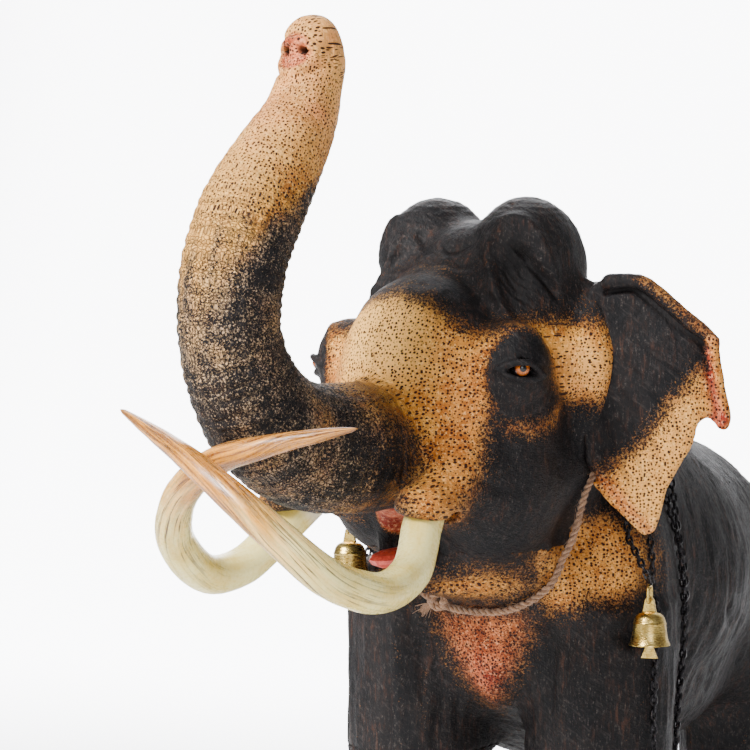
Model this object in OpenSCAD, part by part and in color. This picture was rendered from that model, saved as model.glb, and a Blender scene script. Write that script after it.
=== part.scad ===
// A carved and painted wooden elephant with raised trunk, crossing tusks, a rope collar,
// chains over the neck and two small brass bells. The elephant faces -Y, its left side is +X
// and its soles stand on Z = 0. Head parts are laid out in the head's own straight frame and
// turned with it about the upright line through the cleft between the two domes.

/* [Body] */
// Height of the top of the back above the soles
back_height = 300; // [296:1:304]
// Half width of the barrel of the body
barrel_half_width = 67; // [64:1:70]
// Height at which the four leg blocks are joined to the body
leg_seat_height = 176; // [170:1:176]
// Radius of each front leg at its joint
front_leg_radius = 24; // [22:0.5:24]
// Radius of each rear leg at its joint
rear_leg_radius = 28; // [26:0.5:29]

/* [Head] */
// Turn of the head towards the elephant's right
head_yaw = 20; // [16:1:22]
// Height of the two domes on the head
dome_top = 390; // [388:1:392]
// Radius of the trunk where it leaves the face
trunk_root_radius = 24; // [22:0.5:24]
// Radius of each tusk where it leaves its sheath
tusk_root_radius = 7; // [6:0.5:7]
// Radius of each glass eye
eye_radius = 4; // [3.6:0.1:4]
// Thickness of the ears at their edge
ear_edge = 2.4; // [2:0.1:3]

/* [Harness] */
// Diameter of the rope collar
rope_diameter = 2.6; // [2.2:0.1:3]
// Width of the chain's links
chain_width = 2.6; // [2:0.1:2.8]
// Radius of each bell at its rim
bell_rim_radius = 7.8; // [7.6:0.1:8]

/* [Hidden] */

$fn = 48;
blob_fn = 22;
small_blob_fn = 14;
gap = 0.3;
glue = 0.03;

black = "#1f1a19";
ivory = "#d9c79a";
brass = "#b8963f";
steel = "#2b2a2c";
jute = "#8a6b4d";
bare_wood = "#c19a6b";
mouth_red = "#a8323a";
nail_tan = "#b9a37e";
amber = "#c97a1c";

// Moves the whole figure so that its box is centred over the origin.
figure_shift = [-2, 17, 0];
// The upright line through the cleft of the head's domes, which the head turns about.
cleft_y = -77.5;

// Joint planes in the head's straight frame
neck_seat_y = 16;
trunk_seat_y = -64;
jaw_seat_z = 258;
chest_top_z = 248;
trunk_seat = [0, trunk_seat_y, 298];

// Leg axes
front_leg_x = 37;
front_leg_y = -47;
rear_leg_x = 40;
rear_leg_y = 146;
barrel_half_height = 62;

// Trunk: [y, z, radius] along its middle line
TRUNK = [
    [-64, 298, 24], [-84, 298, 23.5], [-104, 301, 22.5], [-122, 312, 20.5], [-134, 330, 18.6],
    [-137, 348, 18.2], [-134, 366, 18.4], [-125, 384, 18.4], [-112, 402, 16.2],
    [-101, 416, 13.6], [-95.5, 430, 11.8], [-94, 438, 11], [-96, 446, 10.2]
];
trunk_steps = 30;
nostril_half = 3.8;
nostril_radius = 2;
nostril_depth = 9;
nostril_facing = [0.45, -0.89, -0.08];

// Tusks: middle line from the sheath to the tip
LEFT_TUSK = [
    [34, -74, 270], [41, -88, 256], [47, -112, 251], [47, -137, 258], [37, -151, 272],
    [20, -157, 286], [-6, -156, 300], [-42, -149, 313]
];
RIGHT_TUSK = [
    [-34, -73, 268], [-40, -88, 254], [-42, -107, 252], [-37, -127, 266], [-22, -139, 283],
    [1, -145, 296], [23, -144, 302], [41, -138, 306], [56, -132, 309]
];
tusk_sheath = [31, -65, 278];
tusk_steps = 22;
tusk_tip_radius = 0.5;
tenon_length = 20;
tenon_step = 1;

// Ears: [x, y, z] of the rooted edge and of the free edge, from the top down, on the left side
EAR_ROOT = [
    [50, 9, 357], [50.5, 9.5, 346], [51, 10, 334], [51, 10.5, 322], [50.5, 11, 310],
    [50, 11, 298], [50, 10, 286]
];
EAR_RIM = [
    [58, 14, 362], [76, 26, 350], [86, 35, 332], [88, 37, 308], [80, 33, 294],
    [78, 20, 278], [74, 11, 262]
];
ear_root_thickness = 6;
ear_bow = 5;
ear_rows = 18;
ear_columns = 10;
ear_peg_radius = 1.8;
ear_peg_heights = [340, 304];
eye_place = [48.5, -36, 327];
eye_facing = [0.8, -0.6, 0];

// Tail
TAIL = [
    [176, 254, 8], [187, 252, 7.6], [195, 242, 6.8], [198, 228, 6], [199, 206, 5.2],
    [199, 180, 4.4], [198, 152, 3.8], [197, 128, 3.4]
];
TAIL_HAIR = [[197, 128, 3.4], [197, 120, 5], [196.5, 106, 6], [196, 92, 4.6], [195, 76, 1.6]];
tail_seat_y = 176;
tail_seat_z = 254;
tail_end_z = 128;

// Dowels: radius, and how far each one reaches on both sides of its joint
neck_dowel_radius = 12;
neck_dowel_half = 24;
neck_dowel_z = 312;
trunk_dowel_radius = 7;
trunk_dowel_half = 18;
jaw_dowel_radius = 4;
jaw_dowel_half = 7;
jaw_dowel_y = -2;
leg_dowel_radius = 8;
leg_dowel_half = 24;
tail_peg_radius = 3;
tail_peg_inside = 16;
tail_peg_length = 22;

// Toenails
nail_radius = 6;
nail_height = 8;
nail_sink = 3.4;
nail_spread = 34;
front_foot_radius = 28;
rear_foot_radius = 27;

// Rope collar, in the head's straight frame, closed on itself
COLLAR = [
    [-16, -4, 236], [0, -5, 235], [16, -3, 236], [30, 2, 245], [40, 7, 260], [44, 11, 280],
    [46, 18, 302], [43, 24, 326], [32, 24, 346], [17, 24, 358], [0, 23, 364], [-17, 24, 359],
    [-34, 25, 347], [-48, 24, 326], [-50, 18, 302], [-47, 11, 280], [-41, 7, 260], [-29, -0.4, 244.4]
];
collar_rings = 54;
knot_place = [-16, -6, 236];

// Chains, in the body's frame: half routes over the neck, each side given from the top down
BELL_CHAIN_LEFT = [
    [0, -33.6, 351.2], [25, -39.4, 344.6], [43.5, -47, 324.5], [50, -56, 302], [54, -62, 282],
    [59, -68, 262]
];
BELL_CHAIN_RIGHT = [
    [-20, -29, 343], [-36, -31, 326], [-45, -37, 306], [-46, -42, 290], [-49, -49, 275],
    [-52, -60, 273.5], [-54.5, -71, 274.5]
];
LOOP_FRONT = [
    [0, -24, 343.6], [24.3, -28.4, 337.4], [42, -34, 320], [50, -43, 296], [55, -50, 276],
    [61, -55, 256], [62, -57, 237], [61, -59, 208], [61, -59, 180], [61, -58, 150]
];
LOOP_REAR = [
    [0, -10, 335], [26, -11.6, 326.6], [42, -17, 312], [51, -22, 290], [60, -26, 266],
    [65, -28, 240], [64, -31, 208], [62, -35, 180], [62, -40, 150]
];
LOOP_RIGHT_FRONT = [
    [-24, -23, 339], [-40, -24, 319], [-49, -26, 300], [-56, -30, 280], [-62, -34, 262],
    [-66, -37, 246], [-66, -39, 228], [-64.5, -41, 208], [-63, -43, 180], [-62.5, -46, 150]
];
loop_bottom = [63, -49, 138];
HOOK_STRAND = [
    [0, 1, 328.5], [27, 0.4, 320], [44.6, -4, 305], [54.2, -10, 285.4], [58, -15, 264],
    [65, -20, 240], [65, -24, 208], [62, -30, 180], [62, -34, 150], [62, -37, 118]
];
loop_rings = 34;
bell_rings = 18;
hook_rings = 24;
hook_wire = 1;
hook_radius = 3.4;
hook_shank = 9;

// Bells: the point that each hangs from, in the body's frame
left_bell_place = [65, -72, 238];
right_bell_place = [-54, -78, 261];
shackle_wire = 0.6;
shackle_arm = 4;
shackle_half = 2.2;
lug_thickness = 1.6;
running_gap = 0.06;
bell_wall = 0.8;
bell_height = 12.6;
bell_drop = 3.6;
clapper_pivot = 7.2;
clapper_pin = 0.5;
clapper_pin_half = 5.7;
clapper_length = 9.6;
clapper_stem = 0.5;
clapper_boss = 1.3;
paddle = [6.4, 0.9, 5.4];

// Half section of the bell's wall, measured down from its crown: [radius, height]
bell_outline = [
    [0, 0], [3, -0.3], [5, -1.4], [6, -3.2], [6.3, -5.4], [6.5, -7.6], [6.8, -9.6],
    [bell_rim_radius - 0.4, -11.4], [bell_rim_radius, -bell_height]
];
// Front view of the flat lug on the bell's crown, about the hinge
lug_outline = [
    [-2.6, -bell_drop - 0.4], [2.6, -bell_drop - 0.4], [1.7, 0.9], [0.8, 1.7],
    [-0.8, 1.7], [-1.7, 0.9]
];
// Front view of the flat paddle at the foot of the clapper
paddle_outline = [
    [-1, paddle[2] / 2], [1, paddle[2] / 2], [paddle[0] / 2, -paddle[2] / 2],
    [-paddle[0] / 2, -paddle[2] / 2]
];

// Half outlines of the legs: [radius, height]
FRONT_LEG = [
    [0, 0], [26, 0], [28, 3], [28.5, 9], [27, 18], [24, 32], [22, 60], [22.5, 100],
    [23.5, 140], [front_leg_radius, leg_seat_height - glue], [0, leg_seat_height - glue]
];
REAR_LEG = [
    [0, 0], [25, 0], [27, 3], [27.5, 9], [26, 18], [23, 32], [21, 60], [23, 100],
    [26, 140], [rear_leg_radius, leg_seat_height - glue], [0, leg_seat_height - glue]
];

// ---------------------------------------------------------------- functions

// A Catmull-Rom curve through points, at a position t from 0 to the number of spans
function knot(points, i) = points[min(max(i, 0), len(points) - 1)];
function curve(points, t) =
    let (i = min(floor(t), len(points) - 2), s = t - i,
         a = knot(points, i - 1), b = knot(points, i), c = knot(points, i + 1), d = knot(points, i + 2))
    0.5 * (2 * b + (c - a) * s + (2 * a - 5 * b + 4 * c - d) * s * s
           + (3 * b - a - 3 * c + d) * s * s * s);
function curve_line(points, steps) = [for (i = [0:steps]) curve(points, i * (len(points) - 1) / steps)];

// The same curve for points that close on themselves
function closed_curve(points, t) =
    let (n = len(points), i = floor(t), s = t - i,
         a = points[(i + n - 1) % n], b = points[i % n], c = points[(i + 1) % n], d = points[(i + 2) % n])
    0.5 * (2 * b + (c - a) * s + (2 * a - 5 * b + 4 * c - d) * s * s
           + (3 * b - a - 3 * c + d) * s * s * s);
function closed_line(points, steps) =
    [for (i = [0:steps - 1]) closed_curve(points, i * len(points) / steps)];

function unit(v) = v / norm(v);
function tangent(line, i) = unit(knot(line, i + 1) - knot(line, i - 1));
function closed_tangent(line, i) =
    let (n = len(line)) unit(line[(i + 1) % n] - line[(i + n - 1) % n]);

// One ring of points square to a direction, with its first point towards a given side
function ring(middle, along, side, radius, sides) =
    let (u = unit(cross(cross(along, side), along)), v = cross(unit(along), u))
    [for (k = [0:sides - 1]) middle + radius * (cos(360 * k / sides) * u + sin(360 * k / sides) * v)];

function flatten(lists) = [for (l = lists) each l];
// Side faces between rings of the same number of points
function skin_faces(rings, sides, closed = false) =
    [for (i = [0:rings - (closed ? 1 : 2)], k = [0:sides - 1])
        let (a = i * sides, b = ((i + 1) % rings) * sides, k2 = (k + 1) % sides)
        each [[a + k, b + k, b + k2], [a + k, b + k2, a + k2]]];
function cap_faces(rings, sides) =
    [for (k = [1:sides - 2]) each [
        [0, k, k + 1],
        [(rings - 1) * sides, (rings - 1) * sides + k + 1, (rings - 1) * sides + k]
    ]];

function on_side(p, side) = [side * p[0], p[1], p[2]];
function mirror_x(points) = [for (p = points) on_side(p, -1)];
function reversed(points) = [for (i = [len(points) - 1:-1:0]) points[i]];
// Lifts [y, z, radius] rows into points on the middle plane, and their radii
function middle_line(rows) = [for (r = rows) [0, r[0], r[1]]];
function radii(rows) = [for (r = rows) r[2]];

// ---------------------------------------------------------------- shared shapes

// A round bar along a line, with its own radius at each ring
module bar(line, radius, sides, side = [1, 0, 0]) {
    n = len(line);
    polyhedron(
        flatten([for (i = [0:n - 1]) ring(line[i], tangent(line, i), side, radius[i], sides)]),
        concat(skin_faces(n, sides), cap_faces(n, sides)),
        convexity = 8
    );
}

// A plain tube of one radius along an open line
module cord(line, radius, sides = 8) {
    bar(line, [for (p = line) radius], sides, [0.3, 1, 0.2]);
}

// Merges swellings into the single skin of one carved block
module carved_block() {
    resize([0, 0, 0]) union() children();
}

module egg(place, radii, facets = blob_fn) {
    translate(place) scale(radii) sphere(1, $fn = facets);
}

module both_sides() {
    children();
    mirror([1, 0, 0]) children();
}

module in_figure() {
    translate(figure_shift) children();
}

module in_head() {
    in_figure() translate([0, cleft_y, 0]) rotate([0, 0, -head_yaw]) children();
}

// A pin along a direction, from a start point
module pin(start, along, length, radius) {
    u = unit(along);
    translate(start)
        rotate([0, acos(u[2]), atan2(u[1], u[0])])
            cylinder(r = radius, h = length);
}

// ---------------------------------------------------------------- dowels

module neck_dowel_shape(extra) {
    in_head() pin([0, neck_seat_y - neck_dowel_half, neck_dowel_z], [0, 1, 0],
                  2 * neck_dowel_half, neck_dowel_radius + extra);
}

module trunk_dowel_shape(extra) {
    in_head() pin(trunk_seat + [0, trunk_dowel_half, 0], [0, -1, 0],
                  2 * trunk_dowel_half, trunk_dowel_radius + extra);
}

module jaw_dowel_shape(extra) {
    in_head() pin([0, jaw_dowel_y, jaw_seat_z - jaw_dowel_half], [0, 0, 1],
                  2 * jaw_dowel_half, jaw_dowel_radius + extra);
}

module leg_dowel_shape(x, y, extra) {
    in_figure() pin([x, y, leg_seat_height - leg_dowel_half], [0, 0, 1],
                    2 * leg_dowel_half, leg_dowel_radius + extra);
}

module leg_dowel_set(extra) {
    for (side = [-1, 1]) {
        leg_dowel_shape(side * front_leg_x, front_leg_y, extra);
        leg_dowel_shape(side * rear_leg_x, rear_leg_y, extra);
    }
}

module ear_peg_shape(side, extra) {
    in_head() for (z = ear_peg_heights) {
        pin([side * 38, 10.2, z], [side, 0, 0], 16, ear_peg_radius + extra);
    }
}

module tail_peg_shape(extra) {
    in_figure() pin([0, tail_seat_y - tail_peg_inside, tail_seat_z], [0, 1, 0],
                    tail_peg_length, tail_peg_radius + extra);
}

// ---------------------------------------------------------------- body

module torso_block() {
    carved_block() {
        difference() {
            in_figure() {
                hull() {
                    egg([0, 50, back_height - barrel_half_height],
                        [barrel_half_width, 90, barrel_half_height]);
                    egg([0, 110, 236], [barrel_half_width - 5, 76, 58]);
                }
                hull() {
                    egg([0, -14, 266], [54, 50, 62]);
                    egg([0, 50, 240], [barrel_half_width - 4, 68, 62]);
                }
                egg([0, -48, 222], [32, 28, 32]);
                both_sides() {
                    egg([44, -34, 232], [20, 34, 50]);
                    egg([42, -44, 250], [16, 26, 30]);
                    hull() {
                        egg([front_leg_x, -43, 214], [25, 28, 36]);
                        translate([front_leg_x, front_leg_y, leg_seat_height])
                            cylinder(r = front_leg_radius, h = 4, $fn = blob_fn);
                    }
                    hull() {
                        egg([rear_leg_x, 134, 218], [30, 48, 44]);
                        translate([rear_leg_x, rear_leg_y, leg_seat_height])
                            cylinder(r = rear_leg_radius, h = 4, $fn = blob_fn);
                    }
                }
            }
            below_leg_seats();
            head_room();
        }
        difference() {
            hull() {
                in_head() translate([0, neck_seat_y, 308]) rotate([-90, 0, 0])
                    scale([44, 56, 1]) cylinder(r = 1, h = 2, $fn = blob_fn);
                in_figure() egg([0, -14, 274], [48, 26, 58]);
            }
            below_leg_seats();
        }
    }
}

module below_leg_seats() {
    in_figure() translate([-150, -150, leg_seat_height - 100]) cube([300, 450, 100]);
}

// The room in front of the neck joint, above the chest
module head_room() {
    in_head() translate([-100, neck_seat_y - 150, chest_top_z]) cube([200, 150, 200]);
}

module torso() {
    color(black) difference() {
        torso_block();
        neck_dowel_shape(glue);
        leg_dowel_set(glue);
        tail_peg_shape(glue);
        in_figure() pin([0, tail_seat_y, tail_seat_z], [0, 1, 0], 20, 9);
    }
}

// ---------------------------------------------------------------- head

module head_block() {
    carved_block() in_head() difference() {
        union() {
            egg([0, 8, 308], [44, 36, 55]);
            egg([0, -1, 350], [24, 30, 33]);
            hull() {
                egg([0, -32, 308], [38, 32, 42]);
                both_sides() {
                    egg([24, -20, 288], [24, 32, 34]);
                    egg([40, -30, 328], [13, 14, 16]);
                }
            }
            both_sides() {
                hull() {
                    egg([15, -4, 332], [29, 34, 38]);
                    egg([22, 0, dome_top - 27], [21, 25, 27]);
                }
                hull() {
                    egg([27, -46, 286], [14, 14, 14]);
                    egg(tusk_sheath, [10, 10, 10]);
                }
            }
            hull() {
                egg([0, -40, 300], [30, 22, 30]);
                translate(trunk_seat) rotate([-90, 0, 0])
                    cylinder(r = trunk_root_radius, h = 4, $fn = blob_fn);
            }
        }
        translate([-100, neck_seat_y, 200]) cube([200, 100, 250]);
        translate([-100, -150, jaw_seat_z - 60]) cube([200, 200, 60]);
        egg([0, -56, 260], [17, 26, 13]);
        for (line = [LEFT_TUSK, RIGHT_TUSK]) {
            pin(line[0], line[1] - line[0], 30, 14);
        }
    }
}

// The round socket in the flat end of each sheath that the tusk's tenon is glued into
module tusk_sockets() {
    in_head() for (line = [LEFT_TUSK, RIGHT_TUSK]) {
        along = unit(line[1] - line[0]);
        pin(line[0] - along * tenon_length, along, tenon_length + 4,
            tusk_root_radius - tenon_step + glue);
    }
}

module head() {
    color(black) difference() {
        head_block();
        neck_dowel_shape(glue);
        trunk_dowel_shape(glue);
        jaw_dowel_shape(glue);
        tusk_sockets();
        for (side = [-1, 1]) {
            ear_peg_shape(side, glue);
            eye_socket(side);
        }
    }
}

// A round pocket, square to the face, that each glass eye sits in
module eye_socket(side) {
    in_head() pin(on_side(eye_place - eye_facing * eye_radius, side), on_side(eye_facing, side),
                  eye_radius + 3, eye_radius + glue);
}

module jaw_block() {
    carved_block() in_head() difference() {
        union() {
            hull() {
                egg([0, -6, 258], [35, 20, 15]);
                egg([0, -44, 256], [15, 14, 12]);
            }
            hull() {
                egg([0, -44, 254], [14, 12, 10]);
                egg([0, -54, 250], [6, 6, 6]);
            }
        }
        translate([-100, -100, jaw_seat_z - glue]) cube([200, 200, 60]);
        translate([-100, neck_seat_y - gap, 200]) cube([200, 100, 100]);
        egg([0, -50, 261], [10, 22, 10]);
    }
}

module lower_jaw() {
    color(black) difference() {
        jaw_block();
        jaw_dowel_shape(glue);
    }
}

module tongue() {
    color(mouth_red) carved_block() in_head() intersection() {
        egg([0, -46, 256], [7, 17, 4], small_blob_fn);
        egg([0, -50, 261 + gap], [10 - gap, 22 - gap, 10 - gap]);
    }
}

module trunk_skin() {
    line = curve_line(middle_line(TRUNK), trunk_steps);
    sizes = [for (r = curve_line([for (v = radii(TRUNK)) [v, 0, 0]], trunk_steps)) r[0]];
    bar(line, sizes, 20);
}

module trunk() {
    tip = TRUNK[len(TRUNK) - 1];
    color(black) difference() {
        in_head() difference() {
            trunk_skin();
            translate([-50, trunk_seat_y - glue, 200]) cube([100, 60, 200]);
            for (side = [-1, 1]) {
                pin([0, tip[0], tip[1] - 4] + side * nostril_half * [0.89, 0.45, 0] + nostril_facing * 16,
                    -nostril_facing, 16 - tip[2] + nostril_depth, nostril_radius);
            }
        }
        trunk_dowel_shape(glue);
    }
}

// A curved tusk that thins to a blunt tip, with the narrower tenon behind its flat root
module tusk(line) {
    along = unit(line[1] - line[0]);
    path = concat(
        [line[0] + along * glue, line[0] + along * 3],
        curve_line([for (i = [1:len(line) - 1]) line[i]], tusk_steps)
    );
    n = len(path);
    thinning = [for (i = [0:n - 1]) pow(1 - pow(max(i - 1, 0) / (n - 1), 2.2), 0.75)];
    sizes = [for (t = thinning) min(tusk_root_radius * t + tusk_tip_radius, tusk_root_radius)];
    color(ivory) in_head() union() {
        bar(path, sizes, 12);
        pin(line[0] - along * tenon_length, along, tenon_length + 1, tusk_root_radius - tenon_step);
    }
}

module left_tusk() {
    tusk(LEFT_TUSK);
}

module right_tusk() {
    tusk(RIGHT_TUSK);
}

module eye(side) {
    color(amber) in_head() translate(on_side(eye_place, side)) sphere(r = eye_radius);
}

module left_eye() {
    eye(1);
}

module right_eye() {
    eye(-1);
}

// A leaf-like shell from the rooted edge to the rim, thick at the root and bowed outwards
function ear_point(row, column, back) =
    let (t = row * (len(EAR_ROOT) - 1) / ear_rows, u = column / ear_columns,
         root = curve(EAR_ROOT, t), rim = curve(EAR_RIM, t),
         thick = ear_edge + (ear_root_thickness - ear_edge) * pow(1 - u, 2),
         bow = ear_bow * sin(180 * u) * sin(180 * (row + 2) / (ear_rows + 4)))
    root + (rim - root) * u + [0, -bow + (back ? thick / 2 : -thick / 2), 0];

module ear_shell() {
    columns = ear_columns + 1;
    count = (ear_rows + 1) * columns;
    front = [for (r = [0:ear_rows], c = [0:ear_columns]) ear_point(r, c, false)];
    back = [for (r = [0:ear_rows], c = [0:ear_columns]) ear_point(r, c, true)];
    sheet = [for (r = [0:ear_rows - 1], c = [0:ear_columns - 1])
        let (a = r * columns + c) each [[a, a + 1, a + columns], [a + 1, a + columns + 1, a + columns]]];
    border = concat(
        [for (c = [0:ear_columns - 1]) [c, c + 1]],
        [for (r = [0:ear_rows - 1]) [r * columns + ear_columns, (r + 1) * columns + ear_columns]],
        [for (c = [ear_columns:-1:1]) [ear_rows * columns + c, ear_rows * columns + c - 1]],
        [for (r = [ear_rows:-1:1]) [r * columns, (r - 1) * columns]]
    );
    polyhedron(
        concat(front, back),
        concat(
            sheet,
            [for (f = sheet) [f[0] + count, f[2] + count, f[1] + count]],
            [for (e = border) each [[e[1], e[0], e[0] + count], [e[1], e[0] + count, e[1] + count]]]
        ),
        convexity = 6
    );
}

module left_ear() {
    color(black) difference() {
        in_head() ear_shell();
        ear_peg_shape(1, glue);
    }
}

module right_ear() {
    color(black) difference() {
        in_head() mirror([1, 0, 0]) ear_shell();
        ear_peg_shape(-1, glue);
    }
}

// ---------------------------------------------------------------- legs

module leg_body(outline) {
    rotate_extrude() polygon(outline);
}

module leg(x, y, outline) {
    color(black) difference() {
        in_figure() translate([x, y, 0]) leg_body(outline);
        leg_dowel_shape(x, y, glue);
    }
}

module front_left_leg() {
    leg(front_leg_x, front_leg_y, FRONT_LEG);
}

module front_right_leg() {
    leg(-front_leg_x, front_leg_y, FRONT_LEG);
}

module rear_left_leg() {
    leg(rear_leg_x, rear_leg_y, REAR_LEG);
}

module rear_right_leg() {
    leg(-rear_leg_x, rear_leg_y, REAR_LEG);
}

// Rounded caps set round the front of the foot
module toenails(x, y, outline, foot_radius, count) {
    color(nail_tan) in_figure() translate([x, y, 0]) difference() {
        for (i = [0:count - 1]) {
            turn = -90 + nail_spread * (i - (count - 1) / 2);
            out = foot_radius - nail_sink;
            translate([out * cos(turn), out * sin(turn), nail_height]) sphere(r = nail_radius);
        }
        leg_body(outline);
        rotate_extrude() polygon([[0, -1], [0, 15], [foot_radius - 1, 15], [foot_radius - 1, -1]]);
    }
}

module front_left_toenails() {
    toenails(front_leg_x, front_leg_y, FRONT_LEG, front_foot_radius, 5);
}

module front_right_toenails() {
    toenails(-front_leg_x, front_leg_y, FRONT_LEG, front_foot_radius, 5);
}

module rear_left_toenails() {
    toenails(rear_leg_x, rear_leg_y, REAR_LEG, rear_foot_radius, 4);
}

module rear_right_toenails() {
    toenails(-rear_leg_x, rear_leg_y, REAR_LEG, rear_foot_radius, 4);
}

// ---------------------------------------------------------------- tail

module tail_bar(rows, steps, sides) {
    line = curve_line(middle_line(rows), steps);
    sizes = [for (r = curve_line([for (v = radii(rows)) [v, 0, 0]], steps)) r[0]];
    bar(line, sizes, sides);
}

module tail() {
    color(black) difference() {
        in_figure() difference() {
            tail_bar(TAIL, 18, 12);
            translate([-20, tail_seat_y - 30, 200]) cube([40, 30 + glue, 100]);
            translate([-20, 150, 0]) cube([40, 100, tail_end_z]);
        }
        tail_peg_shape(glue);
    }
}

module tail_hair() {
    color(black) in_figure() difference() {
        tail_bar(TAIL_HAIR, 8, 12);
        translate([-20, 150, tail_end_z - glue]) cube([40, 100, 40]);
    }
}

// ---------------------------------------------------------------- fixings

module neck_dowel() {
    color(bare_wood) neck_dowel_shape(0);
}

module trunk_dowel() {
    color(bare_wood) trunk_dowel_shape(0);
}

module jaw_dowel() {
    color(bare_wood) jaw_dowel_shape(0);
}

module leg_dowels() {
    color(bare_wood) leg_dowel_set(0);
}

module ear_pegs() {
    color(bare_wood) for (side = [-1, 1]) {
        ear_peg_shape(side, 0);
    }
}

module tail_peg() {
    color(bare_wood) tail_peg_shape(0);
}

// ---------------------------------------------------------------- rope and chains

module neck_rope() {
    line = closed_line(COLLAR, collar_rings);
    n = collar_rings;
    color(jute) in_head() polyhedron(
        flatten([for (i = [0:n - 1])
            ring(line[i], closed_tangent(line, i), [0.1, 1, 0.15], rope_diameter / 2, 8)]),
        skin_faces(n, 8, true),
        convexity = 8
    );
}

module rope_knot() {
    color(jute) carved_block() in_head() {
        egg(knot_place, [5, 2.6, 3.6], small_blob_fn);
        egg(knot_place + [-4, -0.6, -2], [3, 1.8, 2.2], small_blob_fn);
        egg(knot_place + [3.6, -0.6, 2], [3, 1.8, 2], small_blob_fn);
    }
}

module bell_chain() {
    line = curve_line(concat(reversed(BELL_CHAIN_LEFT), BELL_CHAIN_RIGHT), bell_rings);
    above_bell = [0, 0, shackle_arm + shackle_half + shackle_wire + chain_width / 2];
    left_end = left_bell_place + above_bell;
    right_end = right_bell_place + above_bell;
    color(steel) in_figure() cord(concat([left_end], line, [right_end]), chain_width / 2);
}

module loop_chain() {
    left = concat(LOOP_FRONT, [loop_bottom], reversed(LOOP_REAR));
    right_rear = mirror_x([for (i = [1:len(LOOP_REAR) - 1]) LOOP_REAR[i]]);
    right = concat(right_rear, mirror_x([loop_bottom]), reversed(LOOP_RIGHT_FRONT));
    line = closed_line(concat(left, right), loop_rings * 2);
    n = len(line);
    color(steel) in_figure() polyhedron(
        flatten([for (i = [0:n - 1])
            ring(line[i], closed_tangent(line, i), [0.2, 1, 0.1], chain_width / 2, 6)]),
        skin_faces(n, 6, true),
        convexity = 10
    );
}

module hook_chain() {
    right = mirror_x([for (i = [1:len(HOOK_STRAND) - 1]) HOOK_STRAND[i]]);
    line = curve_line(concat(reversed(HOOK_STRAND), right), hook_rings);
    color(steel) in_figure() cord(line, chain_width / 2);
}

// An open hook at each end of the long chain
module chain_hooks() {
    end = HOOK_STRAND[len(HOOK_STRAND) - 1];
    color(steel) in_figure() both_sides() translate(end - [0, 0, gap + hook_shank]) {
        cylinder(r = hook_wire, h = hook_shank);
        translate([0, hook_radius, 0]) rotate([0, -90, 0]) rotate([0, 0, 90])
            rotate_extrude(angle = 180) translate([hook_radius, 0]) circle(hook_wire);
        translate([0, 2 * hook_radius, 0]) cylinder(r = hook_wire, h = hook_shank / 3);
    }
}

// ---------------------------------------------------------------- bells

// A bent wire link whose straight bar is the bell's hinge pin
module shackle(place) {
    color(brass) in_figure() translate(place) {
        rotate([90, 0, 0]) cylinder(r = shackle_wire, h = 2 * shackle_half, center = true);
        for (side = [-1, 1]) {
            translate([0, side * shackle_half, 0]) cylinder(r = shackle_wire, h = shackle_arm);
            translate([0, side * shackle_half, 0]) sphere(r = shackle_wire);
        }
        translate([0, 0, shackle_arm]) rotate([90, 0, 90])
            rotate_extrude(angle = 180) translate([shackle_half, 0]) circle(shackle_wire);
    }
}

module bell_section() {
    inner = [for (i = [len(bell_outline) - 1:-1:1])
        [max(bell_outline[i][0] - bell_wall, 0), bell_outline[i][1] - (i < 4 ? bell_wall : 0)]];
    polygon(concat(bell_outline, inner, [[0, -bell_wall]]));
}

module bell(place) {
    color(brass) in_figure() translate(place) {
        difference() {
            union() {
                translate([0, 0, -bell_drop]) rotate_extrude() bell_section();
                rotate([90, 0, 0]) linear_extrude(height = lug_thickness, center = true)
                    polygon(lug_outline);
            }
            rotate([90, 0, 0]) cylinder(r = shackle_wire + running_gap, h = 10, center = true);
        }
        translate([0, 0, -clapper_pivot]) rotate([90, 0, 0])
            cylinder(r = clapper_pin, h = 2 * clapper_pin_half, center = true);
    }
}

module clapper(place) {
    color(brass) in_figure() translate(place - [0, 0, clapper_pivot]) difference() {
        union() {
            rotate([90, 0, 0]) cylinder(r = clapper_boss, h = 1.2, center = true);
            translate([0, 0, -clapper_length]) cylinder(r = clapper_stem, h = clapper_length - 0.8);
            translate([0, 0, 1 - clapper_length - paddle[2] / 2]) rotate([90, 0, 0])
                linear_extrude(height = paddle[1], center = true) polygon(paddle_outline);
        }
        rotate([90, 0, 0]) cylinder(r = clapper_pin + running_gap, h = 4, center = true);
    }
}

module left_shackle() {
    shackle(left_bell_place);
}

module left_bell() {
    bell(left_bell_place);
}

module left_clapper() {
    clapper(left_bell_place);
}

module right_shackle() {
    shackle(right_bell_place);
}

module right_bell() {
    bell(right_bell_place);
}

module right_clapper() {
    clapper(right_bell_place);
}

// ---------------------------------------------------------------- assembly

torso();
head();
lower_jaw();
tongue();
trunk();
left_ear();
right_ear();
left_tusk();
right_tusk();
left_eye();
right_eye();
front_left_leg();
front_right_leg();
rear_left_leg();
rear_right_leg();
front_left_toenails();
front_right_toenails();
rear_left_toenails();
rear_right_toenails();
tail();
tail_hair();
neck_dowel();
trunk_dowel();
jaw_dowel();
leg_dowels();
ear_pegs();
tail_peg();
neck_rope();
rope_knot();
bell_chain();
loop_chain();
hook_chain();
chain_hooks();
left_shackle();
left_bell();
left_clapper();
right_shackle();
right_bell();
right_clapper();
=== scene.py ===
"""The looks of the carved and painted wooden elephant: skin, paint, tusks, ears, rope, chains and bells."""

import math

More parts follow.
